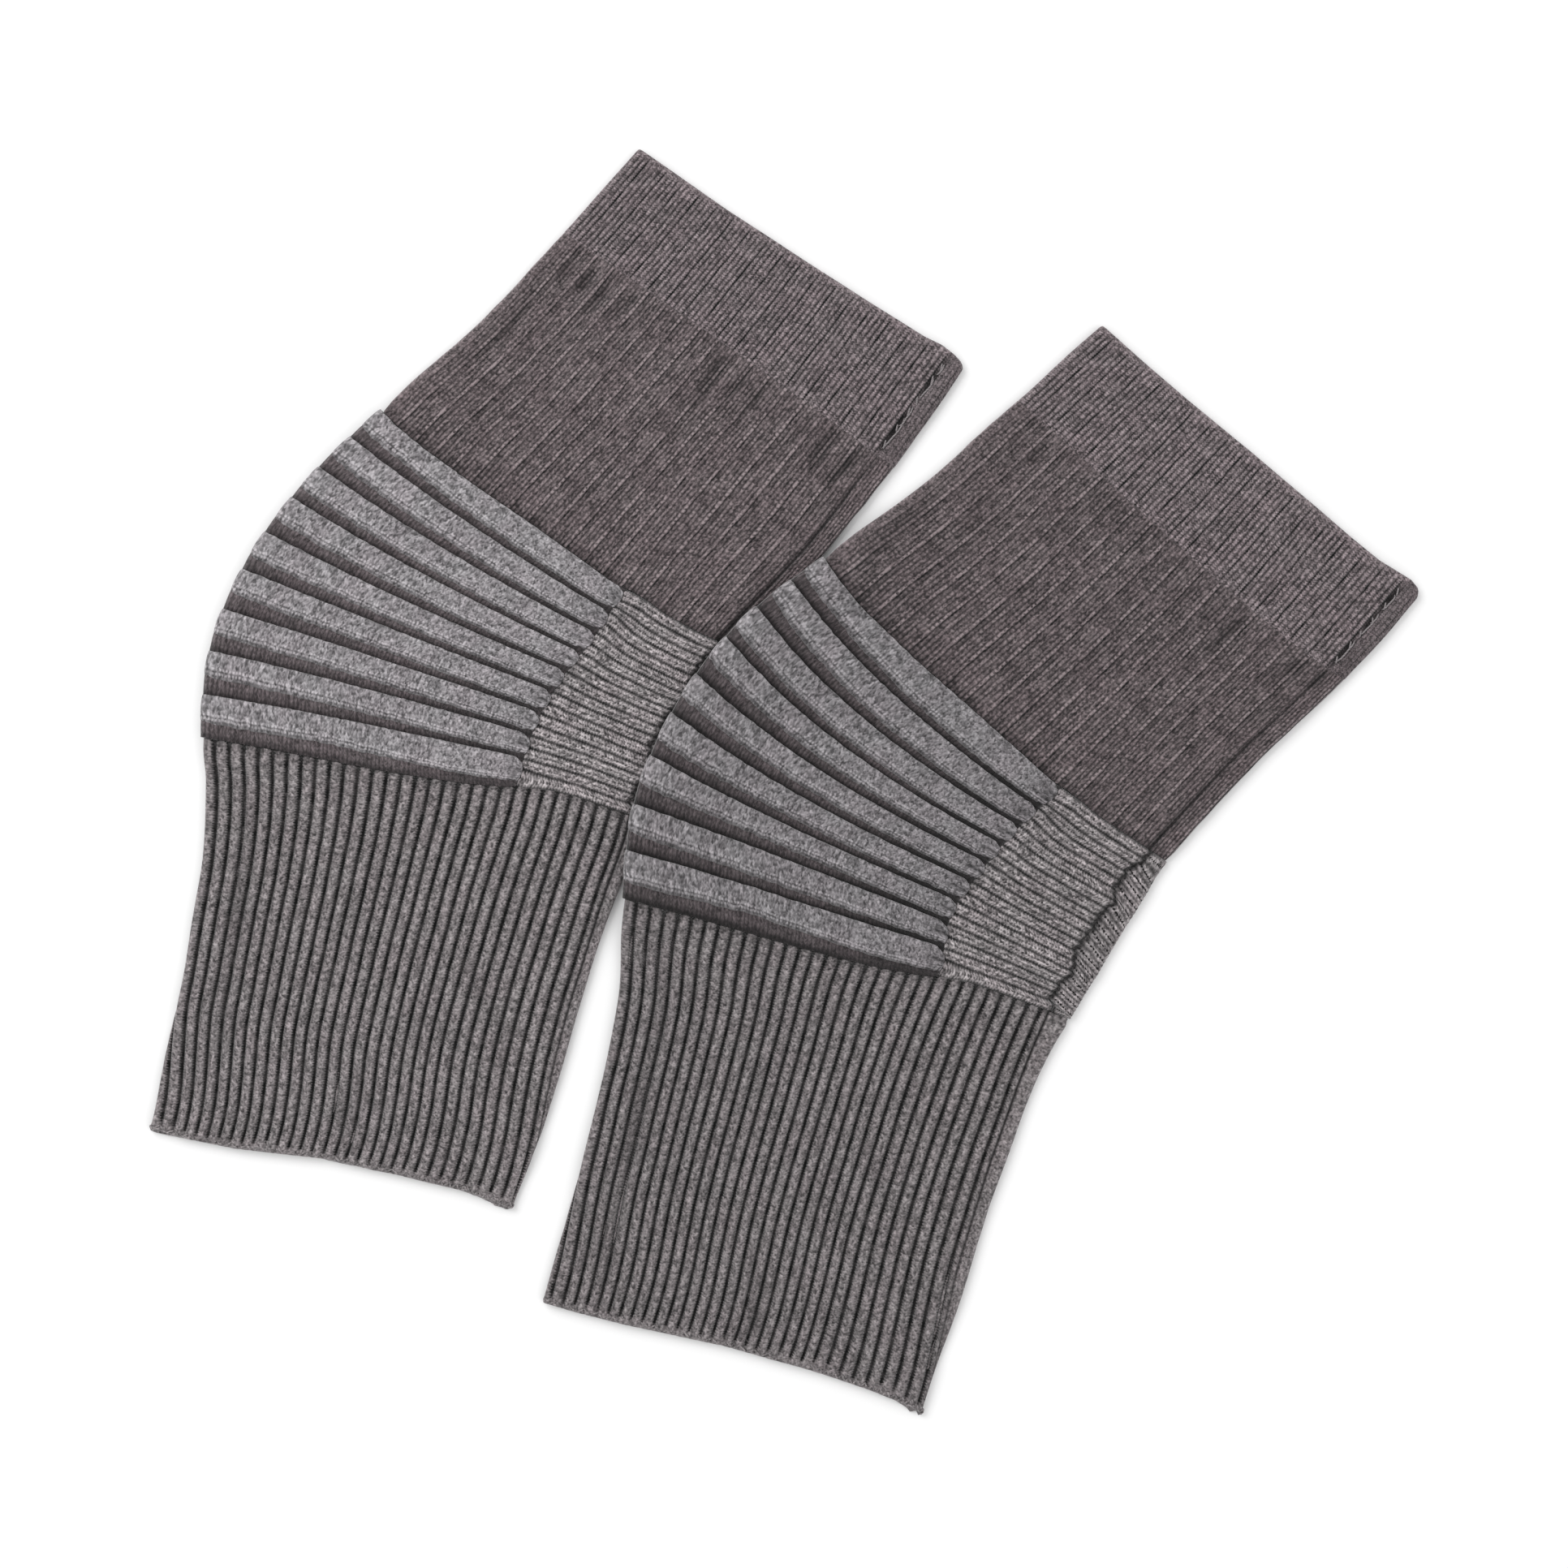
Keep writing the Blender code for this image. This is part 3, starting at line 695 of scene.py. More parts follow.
def columns_round(counts, side, steps, crowd):
    """Wales of a tube's columns from the back fold round the front fold, and where that is.

    Each rib has the same number of columns, more of them on the upper layer than on the
    lower; crowd draws them towards the grooves.
    """
    total = getattr(counts[-1], side)

    def half(rib_steps):
        """Wales of one layer's columns, from the front fold to the back fold."""
        ribs = np.arange(int(math.ceil(total)))[:, None]
        within = np.arange(rib_steps)[None, :] / rib_steps
        within = spread(within, (1.0 - np.cos(math.pi * within)) / 2, crowd)
        stops = (ribs + within).ravel()
        return wales_of(counts, side, stops[stops < total])

    upper, lower = half(steps[0]), -half(steps[1])[:0:-1]
    seam = SEAM_WALE + np.array(SEAM_COLUMNS)
    clear = np.abs(upper[:, None] - seam[None, :]).min(axis=1) > SEAM_CLEAR
    upper = np.sort(np.concatenate([upper[clear], seam]))
    lower = lower[lower > -1.999]
    return np.concatenate([[-2.0], lower, upper]), 1 + len(lower)


def rows_between(start, end, first_edge, last_edge, step):
    """How far along the leg each row lies at each column, and how deep each row lies."""
    first = max(inward for inward, _ in first_edge[-2:])
    last = max(inward for inward, _ in last_edge[-2:])
    length = float(np.min(end - start)) - first - last
    body = np.linspace(0.0, 1.0, max(2, round(length / step)) + 1)[1:-1]
    along = [start + inward for inward, _ in first_edge]
    along += [spread(start + first, end - last, share) for share in body]
    along += [end - inward for inward, _ in reversed(last_edge)]
    depth = [down for _, down in first_edge] + [0.0] * len(body)
    depth += [down for _, down in reversed(last_edge)]
    return np.array(along), np.array(depth)[:, None]


def gap_reach(warmer, along):
    """How far the open seam's gap reaches to either side."""
    return SEAM_WIDE * (0.6 + 0.5 * along_seam(SEAM_OPEN, warmer.side, along))


def seam_groove(warmer, place, along, wale):
    """1 along the sewn seam on the upper layer, falling to 0 beside it."""
    seam = warmer.place_of(np.full(place.shape, SEAM_WALE), along)
    away = (place - seam) * warmer.widths(along)[1]
    clear = np.minimum(along_seam(SEAM_OPEN, warmer.side, along), 1.0)
    return clear * near(away, gap_reach(warmer, along)) * (wale > 1.0)


def inside_depth(height, rows, columns):
    """Heights of the inside: the wall's thickness down, and clear of the troughs round it."""
    depth = np.empty((len(rows), len(columns)))
    for i, row in enumerate(rows):
        around = height[max(0, row - INSIDE_ROW) : row + INSIDE_ROW + 1]
        for j, column in enumerate(columns):
            deepest = around[:, max(0, column - INSIDE_COLUMN) : column + INSIDE_COLUMN + 1].min()
            depth[i, j] = min(-WALL, deepest - INSIDE_CLEAR)
    return depth


def tube(warmer, plan):
    """A piece that goes all round the leg, from one line across the cloth to another."""
    wales, front_column = columns_round(plan.counts, warmer.side, plan.steps, plan.crowd)
    count = len(wales)
    wale = np.append(wales, 2.0)[None, :]
    start = line_at(plan.start, warmer.side, wale)[0]
    end = line_at(plan.end, warmer.side, wale)[0]
    along, depth = rows_between(start, end, *plan.edges, plan.row_step)
    wale = np.broadcast_to(wale, along.shape)
    place = warmer.place_of(wale, along)
    ribs = ribs_at(plan.counts, warmer.side, wale)
    height, shade, fade = plan.relief(warmer, wale, place, along, ribs)
    # Painted shade over the whole part from the table of each part's painted shade, and painted shade in
    # the open seam's gap.
    shade = shade + PAINTED_SHADE_OF_PART[warmer.side][plan.part]
    groove = seam_groove(warmer, place, along, wale)
    height = np.maximum(height - SEAM_DEEP * groove, DEEPEST) - depth
    shade = np.clip(np.maximum(shade, SEAM_DARK * groove), LIGHTEST, SEAM_SHADE)
    sway = 0.10 * ripple(ribs * 3.0, along, 17.0, warmer.seed + 5)
    outside = warmer.lay(place, along, height, slip=sway)[:, :count]

    # The outside goes on round a rolled edge, so the inside only starts past it.
    rows, columns = picked(len(along), INSIDE_ROW), picked(count, INSIDE_COLUMN)[:-1]
    if plan.edges[0] is ROLLED_EDGE:
        rows[0] = len(ROLLED_EDGE) + 1
    if plan.edges[1] is ROLLED_EDGE:
        rows[-1] = len(along) - len(ROLLED_EDGE) - 2
    grid = np.ix_(rows, columns)
    face = np.where(depth > 1.0, 0.0, height)
    inside = warmer.lay(place[grid], along[grid], inside_depth(face, rows, columns))
    knit = np.stack([ribs, along], axis=-1)
    marks = {"Shade": shade, "Ribbing": fade}
    piece = Piece(outside, inside, rows, columns, True, front_column, knit, marks)
    return piece.mesh(f"{warmer.side}_{plan.part}_knit")


def crowns(ribs, sharpness):
    """0 in the groove between two ribs, 1 on the crown of each."""
    return np.abs(np.sin(math.pi * ribs)) ** sharpness


def trough_shade(form):
    """Painted shade in the troughs of the cloth's unevenness, and painted highlight on its ridges."""
    return np.clip(-form - 0.25, 0.0, 1.1) * 0.50 - np.clip(form, 0.0, 0.6) * 0.30


def past_seam_edge(wale):
    """1 on the narrow strip past the sewn seam, easing from 0 at the seam."""
    return ease((wale - SEAM_WALE) / 0.02)


# Each relief gives the height of a part's outside over the tube, the painted shade in its troughs (a
# painted highlight where it is below zero) and its fade, which is 1 where the ribs have their whole depth
# and less towards its edges.


def cuff_relief(warmer, wale, place, along, ribs):
    """The cuff's fine ribs, deepest at each repeat, faint at the folds and past the seam."""
    in_repeat = np.abs((ribs + REPEAT / 2) % REPEAT - REPEAT / 2)
    strength = 1.0 + REPEAT_GROOVE * (in_repeat < 0.5)
    strength = strength + 0.12 * ripple(ribs * 7.0, along * 0.4, 16.0, warmer.seed + 1)
    edge = ease((along - line_at(CUFF_TOP, warmer.side, wale)) / 3.0)
    to_end = line_at(CUFF_END, warmer.side, wale) - along
    low = ease((to_end - 0.3) / 1.2)
    fold = ease(np.abs(place) / 0.04) * ease((2.0 - np.abs(place)) / 0.05)
    strip = past_seam_edge(wale - 0.015)
    fade = (0.35 + 0.65 * edge) * (0.78 + 0.22 * low) * (0.3 + 0.7 * fold) * (1.0 - 0.35 * strip)
    form = warmer.uneven(place, along) + JOINT_RIDGE * near(to_end, JOINT_REACH) * (wale > 0)
    soft = 0.05 * ripple(ribs * 1.9, along, 13.0, warmer.seed + 8)
    # Painted shade in the troughs and painted highlight on the ridges, with random tone and the darker
    # strip past the seam.
    shade = trough_shade(form) + soft + STRIP_SHADE * strip
    groove = 1.0 - crowns(ribs, 0.8)
    return -size_of("fine_rib_depth") * groove * strength * fade + form, shade, fade


def thigh_relief(warmer, wale, place, along, ribs):
    """The thigh's broad soft ribs, one to a repeat, with fine lines of stitches over them."""
    repeat = np.cos(math.tau * (ribs - 0.5) / REPEAT)
    past_ridge = ((ribs - 0.85) % REPEAT) / REPEAT
    groove = 1.0 - crowns(ribs * THIGH_LINES, 1.0)
    near_knee = ease(1.0 - (line_at(THIGH_END, warmer.side, wale) - along) / 4.5)
    from_cuff = along - line_at(CUFF_END, warmer.side, wale)
    fade = (0.8 + 0.2 * ease((from_cuff - 0.3) / 1.4)) * ease(np.abs(place) / 0.05)
    form = warmer.uneven(place, along) + JOINT_RIDGE * near(from_cuff, JOINT_REACH) * (wale > 0)
    soft = 0.10 * ripple(ribs * 1.87, along, 9.0, warmer.seed + 6)
    gathered = groove * np.clip(-form - 0.3, 0.0, 1.2)
    ribbing = BROAD_RIB * (1.0 - repeat) + STITCH_LINE * groove
    height = -size_of("fine_rib_depth") * fade * ribbing + form + soft * (wale > 0)
    height = height - TOWARD_KNEE * near_knee - 0.15 * gathered
    # Painted shade: a dark band just past each ridge, in the gathered grooves, in the troughs and towards
    # the knee, with painted highlight on the ridges and where the soft unevenness rises.
    painted_shade_beside_ridge = 0.36 * np.exp(-past_ridge / 0.18) * fade
    shade = trough_shade(form) - 0.6 * soft + 0.5 * near_knee + painted_shade_beside_ridge + 0.55 * gathered
    return height, shade, fade


def calf_relief(warmer, wale, place, along, ribs):
    """The calf's bold ribs, which start just below the knee and flatten towards the hem."""
    across = np.abs(2.0 * (ribs % 1.0) - 1.0)
    crown = np.sqrt(np.clip(1.0 - (across / CALF_RIB_SHARE) ** 2.6, 0.0, 1.0))
    ribs_start = 0.5 + 0.6 * ripple(ribs * 4.0, 0.0 * along, 7.0, warmer.seed + 4)
    top = ease((along - line_at(CALF_TOP, warmer.side, wale) - ribs_start) / 2.2)
    hem_start = 1.1 + 0.7 * ripple(ribs * 4.0, 0.0 * along, 9.0, warmer.seed + 2)
    above_hem = ease((line_at(HEM, warmer.side, wale) - hem_start - along) / 2.4)
    back_fold = 0.15 + 0.85 * ease((2.0 - np.abs(place)) / 0.06)
    fade = (0.25 + 0.75 * above_hem) * back_fold * (1.0 - 0.75 * past_seam_edge(wale))
    vary = 1.0 + 0.10 * ripple(ribs * 9.0, along, 21.0, warmer.seed + 3)
    form = warmer.uneven(place, along)
    under_knee = (1.0 - top) * ease(np.abs(place) / 0.08)
    ribbing = -size_of("calf_rib_depth") * (1.0 - crown) * fade * vary
    # The shade is painted: darker in the troughs and where the calf dips under the knee's last band,
    # lighter on the ridges.
    return ribbing - UNDER_KNEE * under_knee + form, trough_shade(form) + 0.4 * (1.0 - top), fade


# A part that goes all round the leg: its ribs and how many columns each has on the two layers,
# how far they are drawn to the grooves, its two ends, their edges, how far its rows lie apart,
# its relief, and the lengths along the leg that it is cut between.
Tube = namedtuple("Tube", "part counts steps crowd start end edges row_step relief cut")

CUFF = Tube("cuff", FINE_RIBS, (6, 4), 0.0, CUFF_TOP, CUFF_END, (ROLLED_EDGE, BUTTED_EDGE), 2.6,
            cuff_relief, (0.0, THIGH_START))
THIGH = Tube("thigh", FINE_RIBS, (4, 3), 0.0, CUFF_END, THIGH_END, (BUTTED_EDGE, BUTTED_EDGE), 1.6,
             thigh_relief, (THIGH_START, KNEE_START))
CALF = Tube("calf", CALF_RIBS, (12, 8), 1.0, CALF_TOP, HEM, (BUTTED_EDGE, ROLLED_EDGE), 1.8,
            calf_relief, (CALF_START, LEG_LONG))


# ---------------------------------------------------------------------------------------------
# The knee: its thin ground and the bands over it
# ---------------------------------------------------------------------------------------------

THIGH_GAP = 0.15  # the knee's pieces start this far past the thigh's lower edge
CALF_GAP = 0.1  # and end this far before the calf's upper edge
UNDER_BAND = -0.35  # height of the ground under a band
UNDER_TOP = 0.3  # the ground is level under a band from this far past the band's upper edge
UNDER_FOOT = 0.5  # to this far before its lower edge
UNDER_NEXT = 0.1  # and reaches this far under the next band's upper edge
GROUND_SHARES = (0.0, 0.08, 0.25, 0.45, 0.65, 0.82, 0.94, 1.0)
GROUND_WALE = 1.45  # width of one wale of the ground, and of a band
GROUND_RIB = 0.22  # how high the ground's wales stand
GROUND_AT_FOLD = 0.55  # height of the ground below a band where it is drawn round the front fold
GROUND_RISE = 0.10  # and away from the fold, where it starts to dip to the next crease
FOLD_HIGHLIGHT = {"left": 0.05, "right": 0.40}  # how much paler the bands are painted at the front fold, a painted highlight along its rim


def crease_share(warmer, number, place):
    """How far down the knee a crease lies, as a share of the knee's length."""
    crease = CREASES[number]
    fold, bow = getattr(crease, warmer.side), getattr(crease, f"{warmer.side}_bow")
    place = np.clip(np.abs(place), 0.0, 1.0)
    return spread(fold, crease.pit, place) + bow * 4.0 * place * (1.0 - place)


def band_top(warmer, number, place):
    """How far along the leg a band's upper edge lies."""
    if number == 0:
        return line_at(THIGH_END, warmer.side, place) + 0.2
    return KNEE_START + KNEE_LONG * crease_share(warmer, number - 1, place)


def band_foot(warmer, number, place):
    """How far along the leg a band's lower edge lies."""
    if number == BANDS - 1:
        return line_at(LAST_FOOT, warmer.side, place)
    fold = getattr(CREASES[number], f"{warmer.side}_ground")
    ground = spread(fold, GROUND_AT_PIT, np.clip(np.abs(place), 0.0, 1.0))
    return KNEE_START + KNEE_LONG * (crease_share(warmer, number, place) - ground)


def ground_rows(warmer, number, places):
    """Rows of the ground under a band and below it: how far along, how high, and how much painted shade,
    which deepens towards the next band's crease.
    """
    last = number == BANDS - 1
    top = band_top(warmer, number, places) + UNDER_TOP
    foot = band_foot(warmer, number, places) - UNDER_FOOT
    if last:
        end = line_at(CALF_TOP, warmer.side, places) - CALF_GAP
    else:
        end = band_top(warmer, number + 1, places) + UNDER_NEXT
    level = np.ones(places.shape)
    rows = [(spread(top, foot, share), UNDER_BAND * level, 0.6 * level) for share in (0.3, 0.7)]
    off_fold = ease(np.abs(places) / 0.07)
    narrow = ease((np.abs(places) - 0.55) / 0.4)
    narrow_shade = 0.65 if last else 0.88
    for share in GROUND_SHARES:
        fall = ease((share - 0.1) / 0.9)
        away = spread(GROUND_RISE, -size_of("crease_depth"), fall)
        height = spread(GROUND_AT_FOLD - 0.2 * fall, away, off_fold)
        shade = spread(0.20 + 0.66 * ease((share - 0.45) / 0.5), narrow_shade, narrow)
        rows.append((spread(foot, end, share), height, shade))
    return rows


def knee_ground(warmer, name):
    """The thin ground of the knee, from the pit line round the front fold to the pit line."""
    lower, fold, upper = (-1.0, -0.06, 48), (-0.045, 0.045, 9), (0.06, 1.0, 128)
    places = np.concatenate([np.linspace(*part) for part in (lower, fold, upper)])
    level = np.ones(places.shape)
    first = line_at(THIGH_END, warmer.side, places) + THIGH_GAP
    rows = [(first, -EDGE_DOWN * level, level), (first, UNDER_BAND * level, level)]
    for number in range(BANDS):
        rows += ground_rows(warmer, number, places)
    rows.append((rows[-1][0], -EDGE_DOWN * level, level))
    along, height, shade = (np.array(values) for values in zip(*rows))
    # The whole knee ground also gets its part's painted shade.
    shade = np.minimum(shade + 1.1 * PAINTED_SHADE_OF_PART[warmer.side]["knee"], SEAM_SHADE)
    place = np.broadcast_to(places, along.shape)
    knit = np.stack([place * warmer.widths(along)[0] / GROUND_WALE, along], axis=-1)
    wales = GROUND_RIB * crowns(knit[..., 0], 0.8) * (np.abs(place) < 0.999)
    picks = picked(len(along), 10), picked(len(places), 6)
    turn = int(np.argmin(np.abs(places)))
    marks = {"Shade": shade, "Ribbing": np.ones(along.shape)}
    return open_piece(warmer, name, place, along, height + wales, picks, WALL, turn, knit, marks)


BAND_TAPER = 0.86  # place from which a band grows thinner towards the knee pit
BAND_TIP = 0.965  # place from which its end is rounded off
BAND_ROUND = 0.018  # how much further its middle reaches than its edges
BAND_PARTING = 0.91  # place from which it parts into the knee pit's ribs
BAND_INSIDE = 0.22  # how far down its inside lies
BAND_ROWS = (0, 5, 10, 15, 20)  # rows of its section that its inside has
# A band's section: (share of its width, further in from its upper edge, height) from the
# crease over the crown to its soft lower edge. Height 1 is the band's whole height.
BAND_SECTION = (
    (0.0, 0.55, -0.20),
    (0.0, 0.10, 0.02),
    (0.0, -0.12, 0.30),
    (0.0, -0.10, 0.58),
    (0.0, 0.12, 0.80),
    (0.0, 0.55, 0.93),
    (0.0, 1.10, 0.99),
    (0.22, 0.40, 1.02),
    (0.30, 0.20, 1.02),
    (0.37, 0.0, 1.01),
    (0.44, 0.0, 1.00),
    (0.50, 0.0, 0.99),
    (0.56, 0.0, 0.98),
    (0.63, 0.0, 0.96),
    (0.70, 0.0, 0.92),
    (0.78, 0.0, 0.86),
    (0.86, 0.0, 0.74),
    (0.93, 0.0, 0.56),
    (0.98, 0.0, 0.33),
    (1.0, 0.0, 0.12),
    (1.0, -0.35, -0.20),
)


def band_places():
    """Places of a band's columns, and which of them lies on the front fold."""
    parts = np.linspace(0.0, 0.06, 8)[:-1], np.linspace(0.06, 0.9, 64), np.linspace(0.9, BAND_END, 17)[1:]
    upper = np.concatenate(parts)
    lower = -upper[:0:-1]
    lower = np.concatenate([lower[:-5][::2], lower[-5:]])
    return np.concatenate([lower, upper]), len(lower)


def knee_band(warmer, number, name):
    """One puffy band, from the pit line round the front fold to the pit line."""
    places, turn = band_places()
    size = np.abs(places)
    top, foot = band_top(warmer, number, places), band_foot(warmer, number, places)
    across = places * warmer.widths((top + foot) / 2)[0]
    top = top + 0.07 * ripple(across, 0.0, 2.2, warmer.seed + 20 + number)
    foot = foot + 0.12 * ripple(across, 0.0, 2.6, warmer.seed + 40 + number)
    toward_end = ease((size - BAND_TAPER) / (BAND_END - BAND_TAPER))
    tip = ease((size - BAND_TIP) / (BAND_END - BAND_TIP))
    wide = foot - top
    top, foot = top + wide * 0.16 * tip**2, foot - wide * 0.04 * tip**2
    wide = foot - top
    along = np.array([top + wide * share + inward for share, inward, _ in BAND_SECTION])
    section = np.array([height for _, _, height in BAND_SECTION])[:, None]
    share = np.clip((along - top) / wide, 0.0, 1.0)
    puff = 1.0 + 0.06 * ripple(across, (top + foot), 12.0, warmer.seed + 60 + number)
    at_fold = 0.55 + 0.45 * ease(size / 0.06)
    rise = size_of("band_height") * at_fold * (1.0 - 0.50 * toward_end - 0.26 * tip) * puff
    height = np.where(section > 0, section * rise, section)
    place = places + np.sign(places) * BAND_ROUND * tip * (1.0 - (2.0 * share - 1.0) ** 2)

    # Towards its end a band parts into the knee pit's ribs that meet it.
    ribs = FIRST_BAND_RIBS if number == 0 else 2
    parting = sum(near(share - step / ribs, 0.07) for step in range(1, ribs))
    parting = parting * ease((np.abs(place) - BAND_PARTING) / (1.0 - BAND_PARTING))
    soft = 0.06 * ripple(place * 104.0, along, 4.0, warmer.seed + 80) * (section > 0.7)
    height = height - 0.45 * parting + soft

    knit = np.stack([np.broadcast_to(across / GROUND_WALE, along.shape), along], axis=-1)
    # The shade is painted: darker on the band's falling sides, near its lower edge, in its partings and
    # towards its tip, with the part's own painted shade, and lighter along the front fold as a painted
    # highlight.
    edge = np.broadcast_to(foot, along.shape) - along
    shade = np.clip(1.0 - (section + 0.05) * 1.6, 0.0, 1.0) * np.ones(along.shape)
    shade = np.maximum(shade, 0.34 * ease(1.0 - edge / 1.7)) + 0.7 * parting
    shade = shade + 0.12 * ease((size - 0.88) / 0.11) + PAINTED_SHADE_OF_PART[warmer.side]["knee"]
    shade = np.clip(shade - FOLD_HIGHLIGHT[warmer.side] * near(places, 0.03), LIGHTEST, 1.0)
    marks = {"Shade": shade, "Edge": edge, "Ribbing": np.zeros(along.shape)}
    picks = BAND_ROWS, picked(len(places), 5)
    return open_piece(warmer, name, place, along, height, picks, BAND_INSIDE, turn, knit, marks)


# ---------------------------------------------------------------------------------------------
# The knee pit
# ---------------------------------------------------------------------------------------------

PIT_STEPS = 12  # rows to one rib of the knee pit
STRIP_TILT = 5.4  # how far the ribs past the seam lean towards the hem by the back fold
PIT_ACROSS = 46.0  # millimetres of cloth that one wale of the knee pit spans
TUCK_DEEP = 1.35  # how far the cloth turns down into the sewn seam
STRIP_PUFF = 0.9  # how high the strip past the seam puffs out


def pit_wales(fold_side):
    """Wales of a knee pit piece's columns, and which of them lies on the back fold."""
    if fold_side:
        strip = np.linspace(SEAM_WALE, 2.0, 25)
        return np.concatenate([strip, np.linspace(-2.0, -1.0, 34)[1:]]), len(strip) - 1
    return np.concatenate([np.linspace(1.0, 1.72, 42), np.linspace(1.72, SEAM_WALE, 11)[1:]]), 0


def pit_lines(warmer, wales):
    """How far along the leg each of the knee pit's grooves lies at each wale."""
    start = line_at(THIGH_END, warmer.side, wales) + THIGH_GAP
    end = line_at(CALF_TOP, warmer.side, wales) - CALF_GAP
    even = spread(start, end, np.linspace(0.0, 1.0, PIT_RIBS + 1)[:, None])
    meeting = [0.0] + [crease.pit for crease in CREASES] + [1.0]
    stops = [0] + [FIRST_BAND_RIBS + 2 * number for number in range(BANDS)]
    drawn = np.interp(np.arange(PIT_RIBS + 1), stops, meeting)[:, None]
    drawn = KNEE_START + KNEE_LONG * drawn
    drawn[0], drawn[-1] = start[0], end[0]
    return spread(drawn, even, ease((np.abs(wales) - 1.0) / 0.25))


def pit_seam(warmer, wale, rib, along, past_seam, wander):
    """Where the cloth lies round and along the leg, carried along by the wandering seam."""
    jog = 0.35 * np.sin(math.tau * rib) + 0.25 * ripple(rib * 4.0, 0.0 * rib, 5.0, warmer.seed + 11)
    near_seam = near(np.abs(wale - SEAM_WALE), 0.05) * (wale > 1.0)
    place = warmer.place_of(wale, along, seam_shift=-wander)
    place = place + jog * near_seam / warmer.widths(along)[1]
    inner = ease(rib / 1.5) * ease((PIT_RIBS - rib) / 1.5)
    below = ease((np.abs(wale) - 1.4) / 0.6)
    return place, along + STRIP_TILT * inner * np.where(wale > 0, past_seam, below)


def pit_relief(warmer, fold_side, wale, rib, along, past_seam, wander):
    """Height, shade and fade of the knee pit's cross ribs and of the cloth beside the seam."""
    on_strip = past_seam_edge(wale) * (wale > 1.0)
    groove, middle = 1.0 - crowns(rib, 0.75), 1.0 - crowns(rib + 0.5, 0.75)
    groove = np.maximum(groove, spread(0.35, 0.95, on_strip) * middle)
    across = wale * PIT_ACROSS
    vary = 1.0 + 0.15 * ripple(across, along, 9.0, warmer.seed + 12)
    if fold_side:
        tuck = near(wale - SEAM_WALE, 0.023) * (wale > 1.0)
        pillow = np.clip((wander + 1.6) / 2.8, 0.15, 1.0)
        lift = STRIP_PUFF * pillow * np.sin(math.pi * np.clip(past_seam, 0.0, 1.0)) ** 0.6 * (wale > 1.0)
    else:
        tuck = near(SEAM_WALE - wale, 0.018)
        lift = 0.25 * near(SEAM_WALE - wale - 0.035, 0.025)
    toward_bands = 1.0 + 0.35 * near(np.abs(wale) - 1.0, 0.05)
    fade = 0.25 + 0.75 * ease((2.0 - np.abs(wale)) / 0.06)
    height = -size_of("pit_rib_depth") * groove * vary * fade * toward_bands - TUCK_DEEP * tuck + lift
    height = height + 0.15 * ripple(across, along, 15.0, warmer.seed + 13) - 0.1
    height = np.where(wale > 0, height, np.minimum(height, 0.0))
    soft = 0.08 * ripple(across, along, 11.0, warmer.seed + 14)
    # Painted shade in the grooves and the seam's tuck, painted highlight on the puffed strip, with random
    # tone and the part's own painted shade.
    shade = 0.25 * groove + SEAM_SHADE * tuck + soft - 0.12 * lift + PAINTED_SHADE_OF_PART[warmer.side]["pit"]
    return height, np.clip(shade, LIGHTEST, SEAM_SHADE), fade


def pit_piece(warmer, fold_side, name):
    """The knee pit on one side of the sewn seam, its ribs running across the leg."""
    wales, turn = pit_wales(fold_side)
    within = np.arange(PIT_STEPS) / PIT_STEPS
    ribs = np.append((np.arange(PIT_RIBS)[:, None] + within).ravel(), PIT_RIBS)
    lines = pit_lines(warmer, wales)
    lower = np.clip(np.floor(ribs).astype(int), 0, PIT_RIBS - 1)
    along = lines[lower] + (lines[lower + 1] - lines[lower]) * (ribs - lower)[:, None]
    wale = np.broadcast_to(wales, along.shape)
    rib = np.broadcast_to(ribs[:, None], along.shape)
    past_seam = np.clip(wale - SEAM_WALE, 0.0, None) / (2.0 - SEAM_WALE) * (wale > 1.0)
    wander = along_seam(SEAM_WANDER, warmer.side, along)
    place, along = pit_seam(warmer, wale, rib, along, past_seam, wander)
    height, shade, fade = pit_relief(warmer, fold_side, wale, rib, along, past_seam, wander)

    # One more row at either end is the butted edge.
    grids = (along, place, height, shade, fade, rib, wale)
    grids = (np.concatenate([values[:1], values, values[-1:]]) for values in grids)
    along, place, height, shade, fade, rib, wale = grids
    height[0] = height[-1] = -EDGE_DOWN
    across = np.where(wale > 0, wale, wale + 4.0) * PIT_ACROSS
    knit = np.stack([rib, across], axis=-1)
    marks = {"Shade": shade, "Ribbing": fade, "Strip": past_seam_edge(wale) * (wale > 1.0)}
    picks = picked(len(along), 14), picked(len(wales), 6)
    return open_piece(warmer, name, place, along, height, picks, WALL, turn, knit, marks)


# ---------------------------------------------------------------------------------------------
# Sewing thread
# ---------------------------------------------------------------------------------------------

THREAD_SIDES = 6

# Where along the leg the slack threads of the cuffs' seams start and end.
SLACK_THREADS = {
    "left": ((4.5, 9.0), (10.5, 19.0), (22.5, 31.0), (27.5, 41.0)),
    "right": ((6.5, 14.5), (16.5, 21.5), (19.5, 27.5), (30.5, 42.0)),
}
SLACK_TIES = 6  # short stitches that cross the gap
TIES_START = 3.0  # how far from the cuff's ends the first and the last of them may lie
TIES_END = 0.5
HEM_STITCH = 1.9  # how far round the hem each overlocking stitch reaches
HEM_GIRTH_AT = 345.0  # where along the leg the hem's girth is taken
HEM_DEEP, HEM_SHALLOW = 1.9, 0.25  # how far in from the hem a stitch starts and ends


